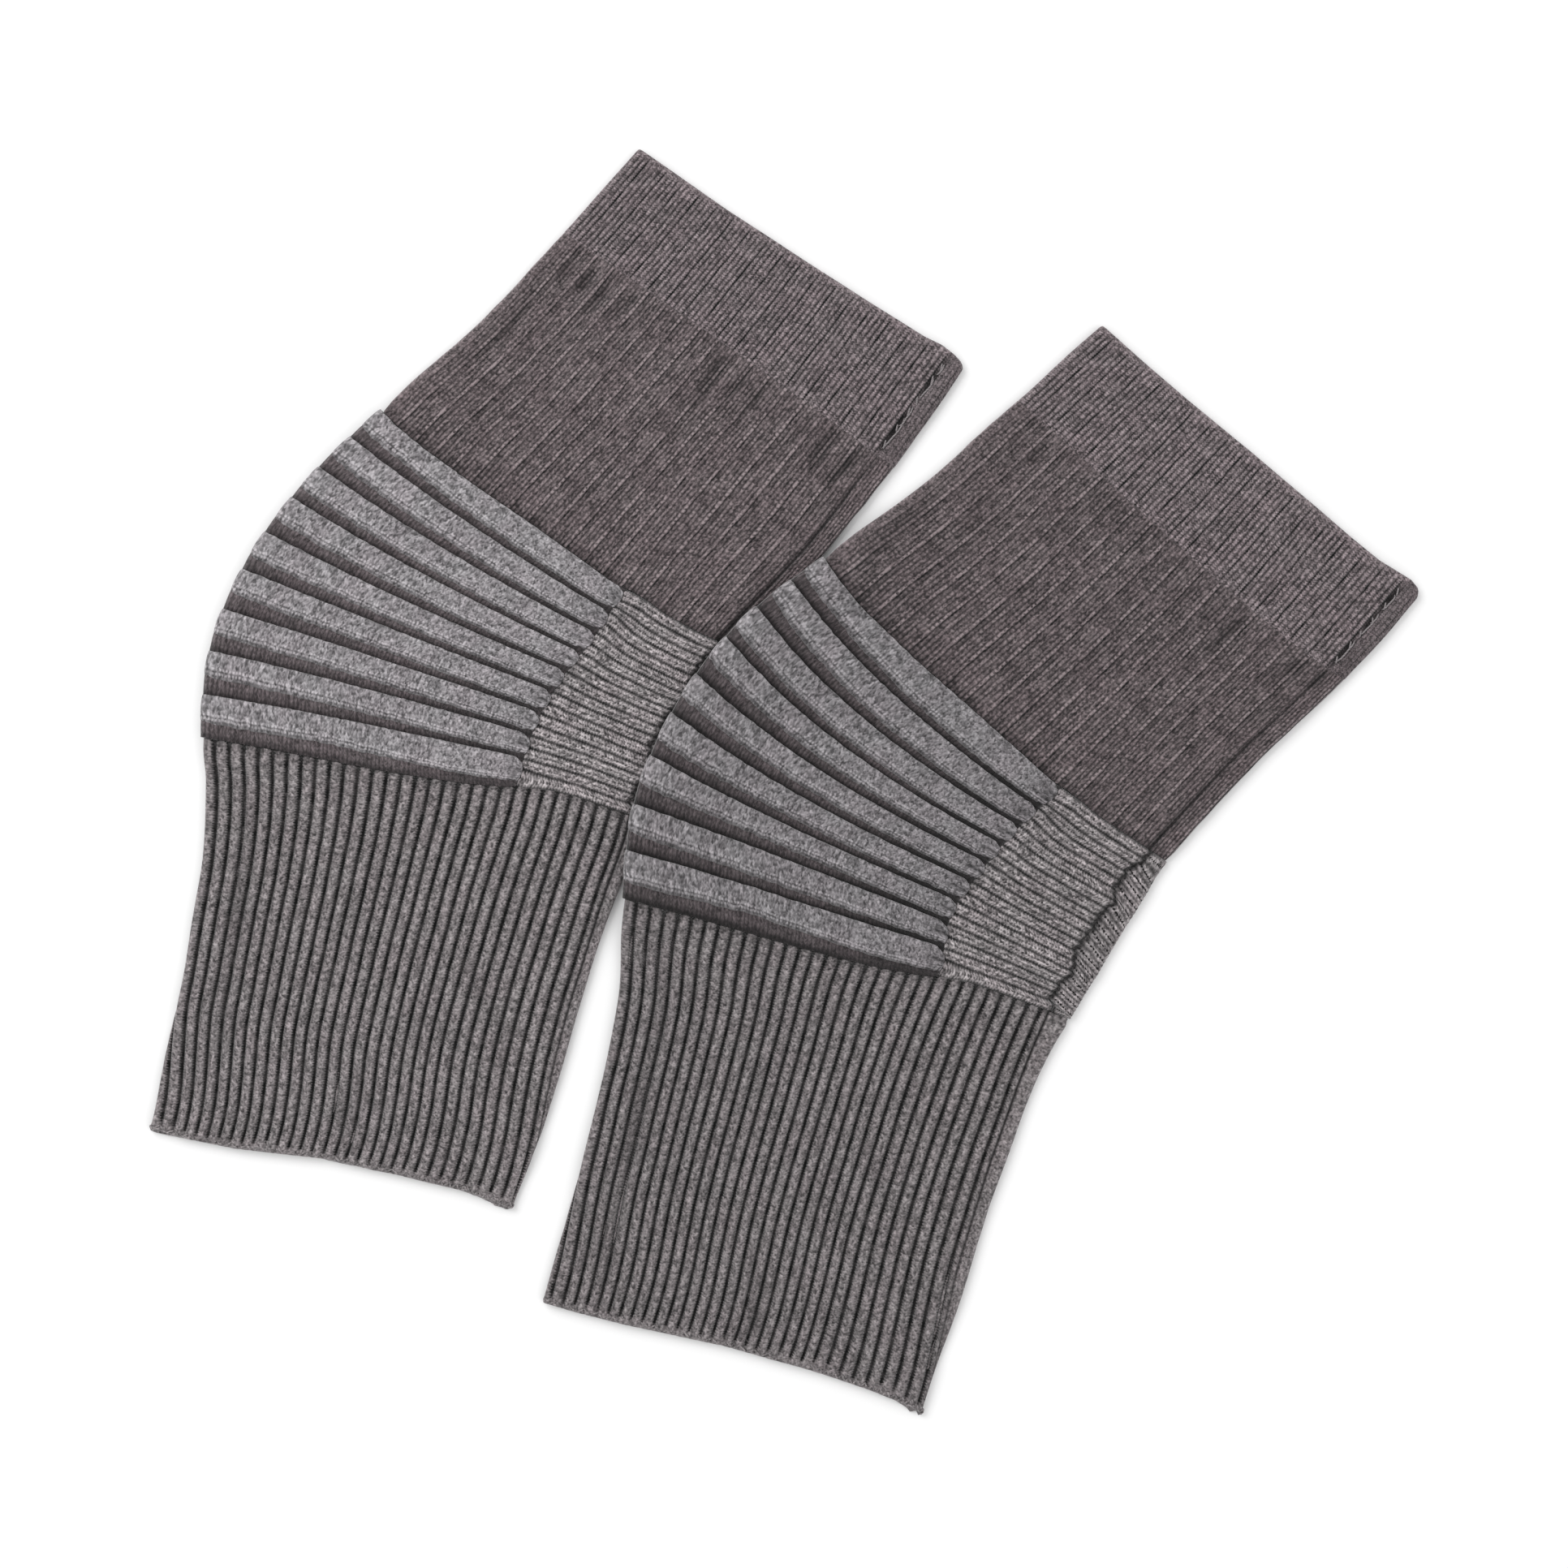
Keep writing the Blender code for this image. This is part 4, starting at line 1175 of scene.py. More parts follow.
def thread_mesh(name, paths, radius):
    """Short lengths of yarn as closed tubes along paths of points."""
    points, faces, knit = [], [], []
    turns = [math.tau * corner / THREAD_SIDES for corner in range(THREAD_SIDES)]
    for number, path in enumerate(paths):
        path = np.array(path)
        run = np.gradient(path, axis=0)
        run /= np.linalg.norm(run, axis=1)[:, None]
        side = np.cross(run, (0.0, 0.0, 1.0))
        side /= np.maximum(np.linalg.norm(side, axis=1)[:, None], 1e-6)
        up = np.cross(side, run)
        start, count = len(points), len(path)
        for step in range(count):
            taper = math.sqrt(max(0.12, 1.0 - (2.0 * step / (count - 1) - 1.0) ** 6))
            for turn in turns:
                reach = side[step] * math.cos(turn) + up[step] * math.sin(turn)
                points.append(path[step] + reach * radius * taper)
        for step in range(count - 1):
            a, b = start + step * THREAD_SIDES, start + (step + 1) * THREAD_SIDES
            for corner in range(THREAD_SIDES):
                after = (corner + 1) % THREAD_SIDES
                faces.append((a + corner, b + corner, b + after, a + after))
                for u, v in ((0, 0), (0, 1), (1, 1), (1, 0)):
                    knit.append((number + (corner + u) / THREAD_SIDES, (step + v) * 0.5))
        first = list(range(start, start + THREAD_SIDES))
        last = [start + (count - 1) * THREAD_SIDES + corner for corner in range(THREAD_SIDES)]
        for cap in (first, last[::-1]):
            faces.append(tuple(cap))
            knit += [(number + corner / THREAD_SIDES, 0.0) for corner in range(THREAD_SIDES)]
    mesh = bpy.data.meshes.new(name)
    mesh.from_pydata((np.array(points) * MM).tolist(), [], faces)
    layer = mesh.uv_layers.new(name="Knit")
    layer.data.foreach_set("uv", np.array(knit, dtype=np.float32).ravel())
    mesh.shade_smooth()
    mesh.validate()
    return mesh


def lay_path(warmer, place, along, out):
    """A thread's path over the tube, which never sinks into the floor."""
    place, along, out = np.broadcast_arrays(*(np.asarray(v, dtype=float) for v in (place, along, out)))
    path = warmer.lay(place, along, out)
    path[..., 2] = np.maximum(path[..., 2], size_of("thread_radius"))
    return path


def seam_path(warmer, along, aside, out):
    """A thread's path beside the sewn seam, this far towards the back fold."""
    seam = warmer.place_of(np.full(along.shape, SEAM_WALE), along)
    return lay_path(warmer, seam + aside / warmer.widths(along)[1], along, out)


def cuff_seam_paths(warmer):
    """Slack threads along the open gap of the cuff's seam, and the stitches that cross it."""
    chance = np.random.default_rng(warmer.seed)
    paths = []
    for start, end in SLACK_THREADS[warmer.side]:
        t = np.linspace(-1.0, 1.0, 15)
        along = spread(start, end, (t + 1.0) / 2)
        wave = 0.10 * np.sin(t * 4.0 + chance.uniform(0.0, math.tau))
        aside = spread(gap_reach(warmer, along) * 0.85 + wave, 0.0, np.abs(t) ** 5)
        paths.append(seam_path(warmer, along, aside, -0.05 - 0.45 * np.abs(t) ** 5))
    start = line_at(CUFF_TOP, warmer.side, SEAM_WALE) + TIES_START
    end = line_at(CUFF_END, warmer.side, SEAM_WALE) - TIES_END
    for number in range(SLACK_TIES):
        middle = spread(start, end, (number + 0.5) / SLACK_TIES) + chance.uniform(-1.5, 1.5)
        lean = 2.6 + chance.uniform(-0.8, 1.4)
        swing = chance.uniform(0.4, 0.8)
        t = np.linspace(-1.0, 1.0, 9)
        paths.append(seam_path(warmer, middle + lean * t / 2, t * swing, -0.15 - 0.35 * t**4))
    return paths


def hem_paths(warmer):
    """The overlocking that zigzags round the hem."""
    front_length, back_length = warmer.widths(np.array(HEM_GIRTH_AT))
    count = 2 * round(float(front_length + back_length) / HEM_STITCH)
    chance = np.random.default_rng(warmer.seed + 1)
    paths = []
    for number in range(count):
        t = np.linspace(0.0, 1.0, 7)
        wale = -2.0 + 4.0 * number / count + 4.0 / count * t
        inward = spread(HEM_DEEP, HEM_SHALLOW, 1.0 - t if number % 2 else t) + chance.uniform(-0.2, 0.2)
        along = line_at(HEM, warmer.side, wale) - inward
        out = np.where(wale > 0, -0.02, -0.28) - 0.55 * ease(1.0 - inward / 0.7)
        out = out - 0.35 * (np.abs(2 * t - 1) ** 4)
        paths.append(lay_path(warmer, warmer.place_of(wale, along), along, out))
    return paths


# ---------------------------------------------------------------------------------------------
# Finishes
# ---------------------------------------------------------------------------------------------


class Recipe:
    """Short ways to add a material's nodes and join them."""

    def __init__(self, name):
        self.material = bpy.data.materials.new(name)
        self.material.use_nodes = True
        self.tree = self.material.node_tree
        self.shader = self.tree.nodes["Principled BSDF"]

    def node(self, kind, values=(), **settings):
        """A node with its settings, and a value or another node's output in each socket."""
        node = self.tree.nodes.new(kind)
        for key, value in settings.items():
            setattr(node, key, value)
        for socket, value in values:
            self.put(node.inputs[socket], value)
        return node

    def put(self, socket, value):
        """Sets a socket, or joins it to another node's output."""
        if isinstance(value, bpy.types.NodeSocket):
            self.tree.links.new(value, socket)
        else:
            socket.default_value = value

    def finish(self, colour, height, roughness, gloss, sheen):
        """The material, with its colour, its height in millimetres and its shine."""
        bump = self.node("ShaderNodeBump", (("Strength", 1.0), ("Distance", MM), ("Height", height)))
        settings = (
            ("Base Color", colour),
            ("Normal", bump.outputs[0]),
            ("Roughness", roughness),
            ("Specular IOR Level", gloss),
            ("Sheen Weight", sheen),
        )
        for socket, value in settings:
            self.put(self.shader.inputs[socket], value)
        return self.material

    def math(self, operation, *values):
        """A sum, product or other working of the values."""
        return self.node("ShaderNodeMath", enumerate(values), operation=operation).outputs[0]

    def add(self, *values):
        """All the values, added in their order."""
        return functools.reduce(lambda total, value: self.math("ADD", total, value), values)

    def times(self, *values):
        """All the values, multiplied in their order."""
        return functools.reduce(lambda total, value: self.math("MULTIPLY", total, value), values)

    def minus(self, value, other):
        """The value less the other."""
        return self.math("SUBTRACT", value, other)

    def sloped(self, value, rise, start):
        """A straight line of the value: so much for each 1 of it, from the start."""
        return self.math("MULTIPLY_ADD", value, rise, start)

    def distance(self, value, other):
        """How far two values lie apart."""
        return self.math("ABSOLUTE", self.minus(value, other))

    def wave(self, operation, turns):
        """A sine or cosine of so many turns."""
        return self.math(operation, self.times(turns, math.tau))

    def within(self, value, low, high, new_low=0.0, new_high=1.0):
        """The value's place between two limits, eased and clamped."""
        sockets = ("Value", "From Min", "From Max", "To Min", "To Max")
        values = zip(sockets, (value, low, high, new_low, new_high))
        return self.node("ShaderNodeMapRange", values, interpolation_type="SMOOTHSTEP").outputs[0]

    def clamped(self, value):
        """The value, kept between 0 and 1."""
        return self.node("ShaderNodeClamp", ((0, value),)).outputs[0]

    def vector(self, x, y):
        """A place on the cloth from two numbers."""
        return self.node("ShaderNodeCombineXYZ", ((0, x), (1, y))).outputs[0]

    def noise(self, place, scale, detail=1.0):
        """Soft noise about 0, most of it between -1 and 1."""
        values = (("Vector", place), ("Scale", scale), ("Detail", detail), ("Roughness", 0.5))
        return self.sloped(self.node("ShaderNodeTexNoise", values).outputs["Fac"], 4.0, -2.0)

    def chance(self, place):
        """An even chance from -1 to 1, the same all over one whole-numbered cell."""
        node = self.node("ShaderNodeTexWhiteNoise", (("Vector", place),), noise_dimensions="2D")
        return self.sloped(node.outputs["Value"], 2.0, -1.0)

    def mark(self, name):
        """One of the marks that the mesh's points carry."""
        return self.node("ShaderNodeAttribute", attribute_name=name).outputs["Fac"]

    def knit_map(self):
        """The two numbers of the mesh's Knit map."""
        place = self.node("ShaderNodeUVMap", uv_map="Knit").outputs[0]
        return self.node("ShaderNodeSeparateXYZ", ((0, place),)).outputs[:2]

    def mix(self, share, first, second):
        """A colour this share of the way from the first to the second."""
        colours = (("Factor", share), ("A", (*first, 1.0)), ("B", (*second, 1.0)))
        return self.node("ShaderNodeMix", colours, data_type="RGBA").outputs["Result"]

    def scaled(self, colour, value):
        """The colour, as light as the value says."""
        values = ((0, colour), ("Scale", value))
        return self.node("ShaderNodeVectorMath", values, operation="SCALE").outputs[0]


# A knit's own facts, for one count of its Knit map, which is one rib: how wide that is and how high a
# course is in millimetres, how many stitches lie across it, how far a stitch's legs lean in courses,
# between which shares of the way from crown to groove the groove's painted shade sets in and how dark it is
# painted, how much painted shade lies on the line down a rib's middle, how much painted shade a rib's sides
# have beside its crown, how strongly single stitches, their legs, fibres and heather vary the colour, and
# how dark the holes down a rib's middle are and how many courses apart. The thigh counts the cuff's ribs,
# and has its stitches and grooves along lines of its own.
Knit = namedtuple(
    "Knit", "wide course stitches lean start end dark middle sides stitch leg fibre heather holes apart"
)

KNITS = {
    "cuff": Knit(1.87, 1.0, 2, 0.6, 0.32, 0.86, 0.88, 0.0, 0.0, 0.19, 0.14, 0.10, 0.36, 0.0, 1),
    "thigh": Knit(1.87, 1.85, 2, 0.4, 0.28, 0.92, 0.86, 0.0, 0.0, 0.17, 0.11, 0.10, 0.38, 0.0, 1),
    "knee": Knit(GROUND_WALE, 1.0, 2, 0.6, 0.40, 0.90, 0.45, 0.0, 0.0, 0.16, 0.08, 0.10, 0.28, 0.0, 1),
    "band": Knit(GROUND_WALE, 0.9, 2, 0.5, 0.50, 0.90, 0.0, 0.0, 0.0, 0.22, 0.06, 0.08, 0.32, 0.0, 1),
    "pit": Knit(3.95, 0.95, 4, 1.1, 0.61, 0.90, 0.90, 0.58, 0.16, 0.24, 0.08, 0.12, 0.36, 0.45, 3),
    "calf": Knit(4.40, 0.95, 5, 1.0, 0.58, 0.80, 0.98, 0.0, 0.36, 0.20, 0.05, 0.12, 0.34, 0.40, 3),
}
FINE_KNITS = ("cuff", "thigh")
BOLD_KNITS = ("calf", "pit")
STITCH_DEEP = 0.025  # heights in millimetres of single stitches, of fibres and of heather
FIBRE_DEEP = 0.03
HEATHER_DEEP = 0.05
GROOVE_DEEP = 0.15  # how much further the stitches' relief goes down in grooves and holes
HOLE_DEEP = 0.2
FIBRE_SKEW = 1.5  # how far the heather leans to dark yarn with few light fibres
PINSTRIPES = (0.95, 1.75)  # how far in from a band's lower edge its light dotted rows lie
TINTS = (1.0, 0.975, 0.985), (0.985, 0.995, 0.99)  # the yarn drifts a little between these


class KnitRecipe(Recipe):
    """A knit's layers: its stitches, grooves, holes and stripes, over one count of its ribs."""

    def __init__(self, label, name):
        super().__init__(label)
        self.name = name
        self.knit = KNITS[name]
        self.even_count, even_run = self.knit_map()
        self.in_mm = self.vector(self.times(self.even_count, self.knit.wide), even_run)

        # The knitting is a little uneven, so ribs and courses wander.
        slow, quick = (self.times(self.noise(self.in_mm, scale), 0.07) for scale in (0.16, 0.7))
        self.count = self.sloped(self.add(slow, quick), 1.0 / self.knit.wide, self.even_count)
        self.run = self.sloped(self.noise(self.in_mm, 0.45), 0.18, even_run)
        self.lines = self.times(self.count, THIGH_LINES) if name == "thigh" else self.count
        self.line_number = self.math("FLOOR", self.lines)
        across = self.sloped(self.math("FRACT", self.lines), 2.0, -1.0)
        self.from_middle = self.math("ABSOLUTE", across)
        self.courses = self.math("DIVIDE", self.run, self.knit.course)
        self.fine, self.fleck = self.noise(self.in_mm, 1.5), self.noise(self.in_mm, 0.75)

    def heather(self):
        """Light and dark fibres, from single flecks to whole paler and darker patches."""
        patches = 0.18 if self.name in FINE_KNITS else 0.15
        layers = [(self.fine, 0.38), (self.fleck, 0.70)]
        layers += [(self.noise(self.in_mm, scale), patches) for scale in (0.36, 0.16)]
        layers.append((self.noise(self.in_mm, 0.06), 0.12))
        return self.add(*(self.times(layer, share) for layer, share in layers))

    def stitches(self, heather):
        """Strokes that lean away from the rib's middle, each of its own lightness.

        Gives how light the yarn is, how high the stitches' legs stand, and their fibres.
        """
        knit = self.knit
        stagger = self.times(self.chance(self.vector(self.line_number, 3.0)), 0.5)
        lean = self.times(self.from_middle, knit.lean)
        stroke = self.add(self.courses, lean, stagger, self.times(self.fleck, 0.22))
        leg = self.wave("COSINE", stroke)
        leg_clear = self.within(self.noise(self.in_mm, 0.30), -0.7, 0.7, 0.35, 1.25)
        column = self.add(self.times(self.lines, knit.stitches), self.times(self.fine, 0.22))
        row = self.add(stroke, self.times(self.fine, 0.15))
        by_stitch = self.chance(self.vector(self.math("FLOOR", column), self.math("FLOOR", row)))
        across = self.times(self.count, knit.wide * 0.8)
        fibre = self.noise(self.vector(self.times(stroke, 1.5), across), 1.0)
        light = self.add(
            0.5,
            self.times(by_stitch, knit.stitch),
            self.times(leg, leg_clear, knit.leg),
            self.times(fibre, knit.fibre),
            self.times(heather, knit.heather),
        )
        return light, leg, fibre

    def ragged(self):
        """How far the stitches' shoulders reach into a groove."""
        bead = self.wave("SINE", self.courses)
        return self.add(self.times(bead, 0.11), self.times(self.fine, 0.06), self.times(self.fleck, 0.10))

    def in_repeat(self, middle, reach):
        """1 this many ribs into each repeat of the pattern, falling to 0 at the reach."""
        count = self.add(self.count, REPEAT / 2 - middle)
        share = self.math("FRACT", self.math("DIVIDE", count, REPEAT))
        return self.within(self.times(self.distance(share, 0.5), REPEAT), reach, reach * 0.4)

    def grooves(self, ragged):
        """How much painted shade darkens the grooves between the ribs."""
        depth = self.add(self.times(self.from_middle, self.mark("Ribbing")), ragged)
        if self.name in FINE_KNITS:
            streak = self.vector(self.times(self.line_number, 2.7), self.times(self.run, 0.17))
            clear = self.within(self.noise(streak, 1.0), -0.6, 0.6, 0.60, 1.12)
        else:
            clear = self.within(self.noise(self.in_mm, 0.22), -0.7, 0.7, 0.80, 1.05)
        if self.name in BOLD_KNITS:
            clear = self.times(clear, self.within(self.noise(self.in_mm, 0.55), -0.6, 0.2, 0.88, 1.0))
        groove = self.times(self.within(depth, self.knit.start, self.knit.end), clear, self.knit.dark)
        if self.name == "pit":
            return self.times(groove, self.sloped(self.mark("Strip"), -0.35, 1.0))
        if self.name == "cuff":
            return self.times(groove, self.sloped(self.in_repeat(0.0, 0.6), 0.28, 0.86))
        if self.name == "thigh":
            return self.times(groove, self.sloped(self.in_repeat(0.8, 0.6), 0.26, 0.86))
        return groove

    def thigh_ridges(self, light):
        """Light loops along the thigh's ridges, a strong and a faint line to each repeat."""
        loops = self.within(self.wave("SINE", self.courses), -0.5, 0.5, 0.10, 1.0)
        line_clear = self.within(self.noise(self.in_mm, 0.09, 2.0), -0.6, 0.6, 0.15, 1.15)
        strong = self.times(self.in_repeat(0.4, 0.40), line_clear, 0.68)
        faint = self.times(self.in_repeat(2.0, 0.40), line_clear, 0.30)
        return self.add(light, self.times(self.add(strong, faint), loops))

    def pinstripes(self, light):
        """Light dotted rows along a band's lower edge, with a darker row beside each."""
        edge = self.mark("Edge")
        loops = self.within(self.wave("SINE", self.times(self.even_count, 1.2)), -0.5, 0.4, 0.2, 1.0)
        for inward in PINSTRIPES:
            line = self.within(self.distance(edge, inward), 0.36, 0.10)
            light = self.add(light, self.times(line, loops, 0.30))
            between = self.within(self.distance(edge, inward - 0.40), 0.30, 0.05)
            light = self.minus(light, self.times(between, 0.10))
        return light

    def holes(self):
        """A line of holes down the middle of each rib, where its two rows of stitches meet."""
        step = self.math("DIVIDE", self.courses, self.knit.apart)
        here = self.within(self.distance(self.math("FRACT", step), 0.5), 0.16, 0.05)
        there = self.within(self.chance(self.vector(self.line_number, self.math("FLOOR", step))), -0.4, 0.3)
        return self.times(self.within(self.from_middle, 0.22, 0.06), here, there, self.knit.holes)

    def middle(self, ragged):
        """How much painted shade darkens the line down a rib's middle."""
        middle = self.within(self.add(self.from_middle, ragged), 0.20, 0.02)
        middle = self.times(middle, self.knit.middle)
        if self.name == "pit":
            middle = self.times(middle, self.sloped(self.mark("Strip"), 0.8, 1.0))
        return middle


def knit_finish(label, name, yarn):
    """Knitted marl yarn: rows of leaning stitches, in light and dark fibres."""
    looks = bpy.context.scene.knee_warmer_colours
    r = KnitRecipe(label, name)
    heather, ragged = r.heather(), r.ragged()
    light, leg, fibre = r.stitches(heather)
    groove, hole, middle = r.grooves(ragged), r.holes(), r.middle(ragged)
    if name == "thigh":
        light = r.thigh_ridges(light)
    if name == "band":
        light = r.pinstripes(light)
    light = r.math("POWER", r.clamped(light), FIBRE_SKEW)

    dark_yarn = (part * looks.dark_fibre for part in yarn)
    light_yarn = (part * looks.light_fibre for part in yarn)
    colour = r.mix(light, dark_yarn, light_yarn)
    tint = r.mix(r.within(r.noise(r.in_mm, 0.09, 2.0), -0.8, 0.8), *TINTS)
    tinted = r.node("ShaderNodeVectorMath", ((0, colour), (1, tint)), operation="MULTIPLY").outputs[0]
    # Painted shade: the Shade mark's (a painted highlight where it is below zero), then the grooves', the
    # rib middles' and the rib sides' painted shade, and the holes' darkness.
    value = r.minus(1.0, r.times(r.mark("Shade"), looks.groove_shade))
    sides = r.times(r.from_middle, r.from_middle, r.mark("Ribbing"), r.knit.sides)
    for darker in (groove, middle, hole, sides):
        value = r.times(value, r.minus(1.0, darker))

    layers = ((leg, STITCH_DEEP), (fibre, FIBRE_DEEP), (heather, HEATHER_DEEP), (groove, -GROOVE_DEEP))
    height = r.add(*(r.times(layer, deep) for layer, deep in layers))
    height = r.minus(height, r.times(hole, HOLE_DEEP))
    r.shader.inputs["Sheen Roughness"].default_value = 0.5
    return r.finish(r.scaled(tinted, value), height, r.sloped(light, -0.08, 0.94), 0.18, 0.40)


def thread_finish(label, yarn):
    """Twisted sewing yarn."""
    r = Recipe(label)
    turn, run = r.knit_map()
    twist = r.math("ABSOLUTE", r.math("SINE", r.add(r.times(turn, math.tau), r.times(run, 3.4))))
    fibre = r.noise(r.vector(r.times(turn, 6.0), r.times(run, 1.4)), 1.6, 2.0)
    light = r.clamped(r.add(r.times(twist, 0.7), r.times(fibre, 0.2)))
    colour = r.mix(light, (part * 0.5 for part in yarn), (part * 1.5 for part in yarn))
    return r.finish(colour, r.times(twist, 0.08), 0.88, 0.18, 0.2)


def finish_named(name):
    """The finish of a zone, made when it is first asked for."""
    label = f"{name}_knit"
    known = bpy.data.materials.get(label)
    if known:
        return known
    yarn = tuple(getattr(bpy.context.scene.knee_warmer_colours, name))
    return thread_finish(label, yarn) if name == "thread" else knit_finish(label, name, yarn)


def floor_finish():
    """Plain pale floor, very faintly uneven."""
    r = Recipe("studio_floor")
    place = r.node("ShaderNodeTexCoord").outputs["Object"]
    tone = r.sloped(r.noise(place, 3.0, 3.0), 0.004, 1.0)
    colour = tuple(bpy.context.scene.knee_warmer_colours.floor)
    r.put(r.shader.inputs["Base Color"], r.scaled(colour, tone))
    r.shader.inputs["Roughness"].default_value = 0.9
    r.shader.inputs["Specular IOR Level"].default_value = 0.1
    return r.material


# ---------------------------------------------------------------------------------------------
# The panel's settings
# ---------------------------------------------------------------------------------------------


def length_setting(label, description, value):
    """A length that the panel shows, in metres."""
    return bpy.props.FloatProperty(
        name=label, description=description, unit="LENGTH", precision=5, default=value
    )


def colour_setting(label, description, value):
    """A colour that the panel shows."""
    return bpy.props.FloatVectorProperty(
        name=label, description=description, subtype="COLOR", size=3, min=0.0, max=1.0, default=value
    )


class SizeSettings(bpy.types.PropertyGroup):
    """The sizes of the knitting that the whole pair shares."""

    fine_rib_depth: length_setting(
        "Fine rib depth", "How deep the fine ribs of the cuffs and thighs are", 0.00055
    )
    calf_rib_depth: length_setting(
        "Calf rib depth", "How deep the grooves between the calf's ribs are", 0.0015
    )
    pit_rib_depth: length_setting(
        "Knee pit rib depth", "How deep the grooves between the knee pit's cross ribs are", 0.0009
    )
    band_height: length_setting(
        "Band height", "How far the knee's bands stand up from the ground between them", 0.0015
    )
    crease_depth: length_setting(
        "Crease depth", "How far the ground dips to the crease at each band's upper edge", 0.0009
    )
    thread_radius: length_setting(
        "Sewing yarn radius", "Half the thickness of the yarn in the seams and hems", 0.0003
    )


class ColourSettings(bpy.types.PropertyGroup):
    """The yarns' colours and the stage's."""

    cuff: colour_setting("Cuffs", "Mean yarn colour of the cuffs", (0.172, 0.143, 0.150))
    thigh: colour_setting("Thighs", "Mean yarn colour of the thigh parts", (0.126, 0.103, 0.107))
    knee: colour_setting("Knee grounds", "Mean yarn colour between the bands", (0.120, 0.100, 0.105))
    band: colour_setting("Bands", "Mean yarn colour of the knee's bands", (0.222, 0.210, 0.219))
    pit: colour_setting("Knee pits", "Mean yarn colour of the knee pits", (0.276, 0.253, 0.257))
    calf: colour_setting("Calves", "Mean yarn colour of the calves", (0.188, 0.171, 0.174))
    thread: colour_setting("Sewing yarn", "Mean yarn colour of the seam stitches", (0.235, 0.212, 0.217))
    light_fibre: bpy.props.FloatProperty(
        name="Light fibres",
        description="How many times lighter than the mean the light fibres are",
        default=2.35,
        min=1.0,
    )
    dark_fibre: bpy.props.FloatProperty(
        name="Dark fibres",
        description="The dark fibres' share of the mean colour",
        default=0.24,
        subtype="FACTOR",
        min=0.0,
        max=1.0,
    )
    # How strongly the Shade mark's painted shade darkens the colour.
    groove_shade: bpy.props.FloatProperty(
        name="Groove shade",
        description="How much darker the cloth is in its deepest troughs",
        default=0.75,
        subtype="FACTOR",
        min=0.0,
        max=1.0,
    )
    floor: colour_setting("Floor", "Colour of the floor", (0.93, 0.93, 0.93))


# ---------------------------------------------------------------------------------------------
# The steps that make the pair
# ---------------------------------------------------------------------------------------------


def add_piece(mesh, finish, nodes=()):
    """Puts a mesh in the scene, riding on the body, with its finish and what it replaces."""
    obj = bpy.data.objects.new(mesh.name, mesh)
    bpy.context.scene.collection.objects.link(obj)
    mesh.materials.append(finish_named(finish))
    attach(obj, BODY)
    if nodes:
        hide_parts(*nodes)
    return obj


def mean_widths(warmer, start, end):
    """Mean lengths of the courses' two stretches between two lengths along the leg."""
    front_length, back_length = warmer.widths(np.linspace(start, end, 9))
    return float(np.mean(front_length)), float(np.mean(back_length))


def knit_tubes(plan):
    """Both warmers' pieces of one part that goes all round the leg."""
    start, end = plan.cut
    for warmer in PAIR:
        piece = add_piece(tube(warmer, plan), plan.part, [f"{warmer.side}_{plan.part}"])
        wide = 2.0 * sum(mean_widths(warmer, start, end))


class KNEEWARMERS_OT_cuffs(bpy.types.Operator):
    """Knit the finely ribbed cuffs"""

    bl_idname = "kneewarmers.cuffs"
    bl_label = "Cuffs"

    def execute(self, context):
        knit_tubes(CUFF)
        return {"FINISHED"}


class KNEEWARMERS_OT_thighs(bpy.types.Operator):
    """Knit the thigh parts"""

    bl_idname = "kneewarmers.thighs"
    bl_label = "Thighs"

    def execute(self, context):
        knit_tubes(THIGH)
        return {"FINISHED"}


class KNEEWARMERS_OT_knees(bpy.types.Operator):
    """Knit the thin ground of the knees"""

    bl_idname = "kneewarmers.knees"
    bl_label = "Knee grounds"

    def execute(self, context):
        for warmer in PAIR:
            name = f"{warmer.side}_knee"
            piece = add_piece(knee_ground(warmer, f"{name}_ground"), "knee", [name])
            front_length, _ = mean_widths(warmer, KNEE_START, KNEE_END)
        return {"FINISHED"}


class KNEEWARMERS_OT_bands(bpy.types.Operator):
    """Lay the puffy bands over the knees' ground"""

    bl_idname = "kneewarmers.bands"
    bl_label = "Knee bands"

    def execute(self, context):
        places = np.linspace(0.0, 1.0, 11)
        for warmer in PAIR:
            for number in range(BANDS):
                name = f"{warmer.side}_band_{number + 1}"
                piece = add_piece(knee_band(warmer, number, f"{name}_knit"), "band", [name])
                top, foot = band_top(warmer, number, places), band_foot(warmer, number, places)
                long = 2.0 * BAND_END * float(np.mean(warmer.widths((top + foot) / 2)[0])) * MM
                wide = (float(np.mean(foot - top)) + 2.0 * size_of("band_height")) * MM
        return {"FINISHED"}


class KNEEWARMERS_OT_pits(bpy.types.Operator):
    """Knit the cross-ribbed knee pits on both sides of the seam"""

    bl_idname = "kneewarmers.pits"
    bl_label = "Knee pits"

    def execute(self, context):
        for warmer in PAIR:
            _, back_length = mean_widths(warmer, KNEE_START, KNEE_END)
            courses = through_rows(warmer.rows, np.linspace(KNEE_START, KNEE_END, 9))
            strip = float(np.mean(courses[:, SEAM]))
            for side, wide in (("seam_side", back_length - strip), ("fold_side", back_length + strip)):
                name = f"{warmer.side}_pit_{side}"
                mesh = pit_piece(warmer, side == "fold_side", f"{name}_knit")
                piece = add_piece(mesh, "pit", [name])
        return {"FINISHED"}


class KNEEWARMERS_OT_calves(bpy.types.Operator):
    """Knit the boldly ribbed calves"""

    bl_idname = "kneewarmers.calves"
    bl_label = "Calves"

    def execute(self, context):
        knit_tubes(CALF)
        return {"FINISHED"}


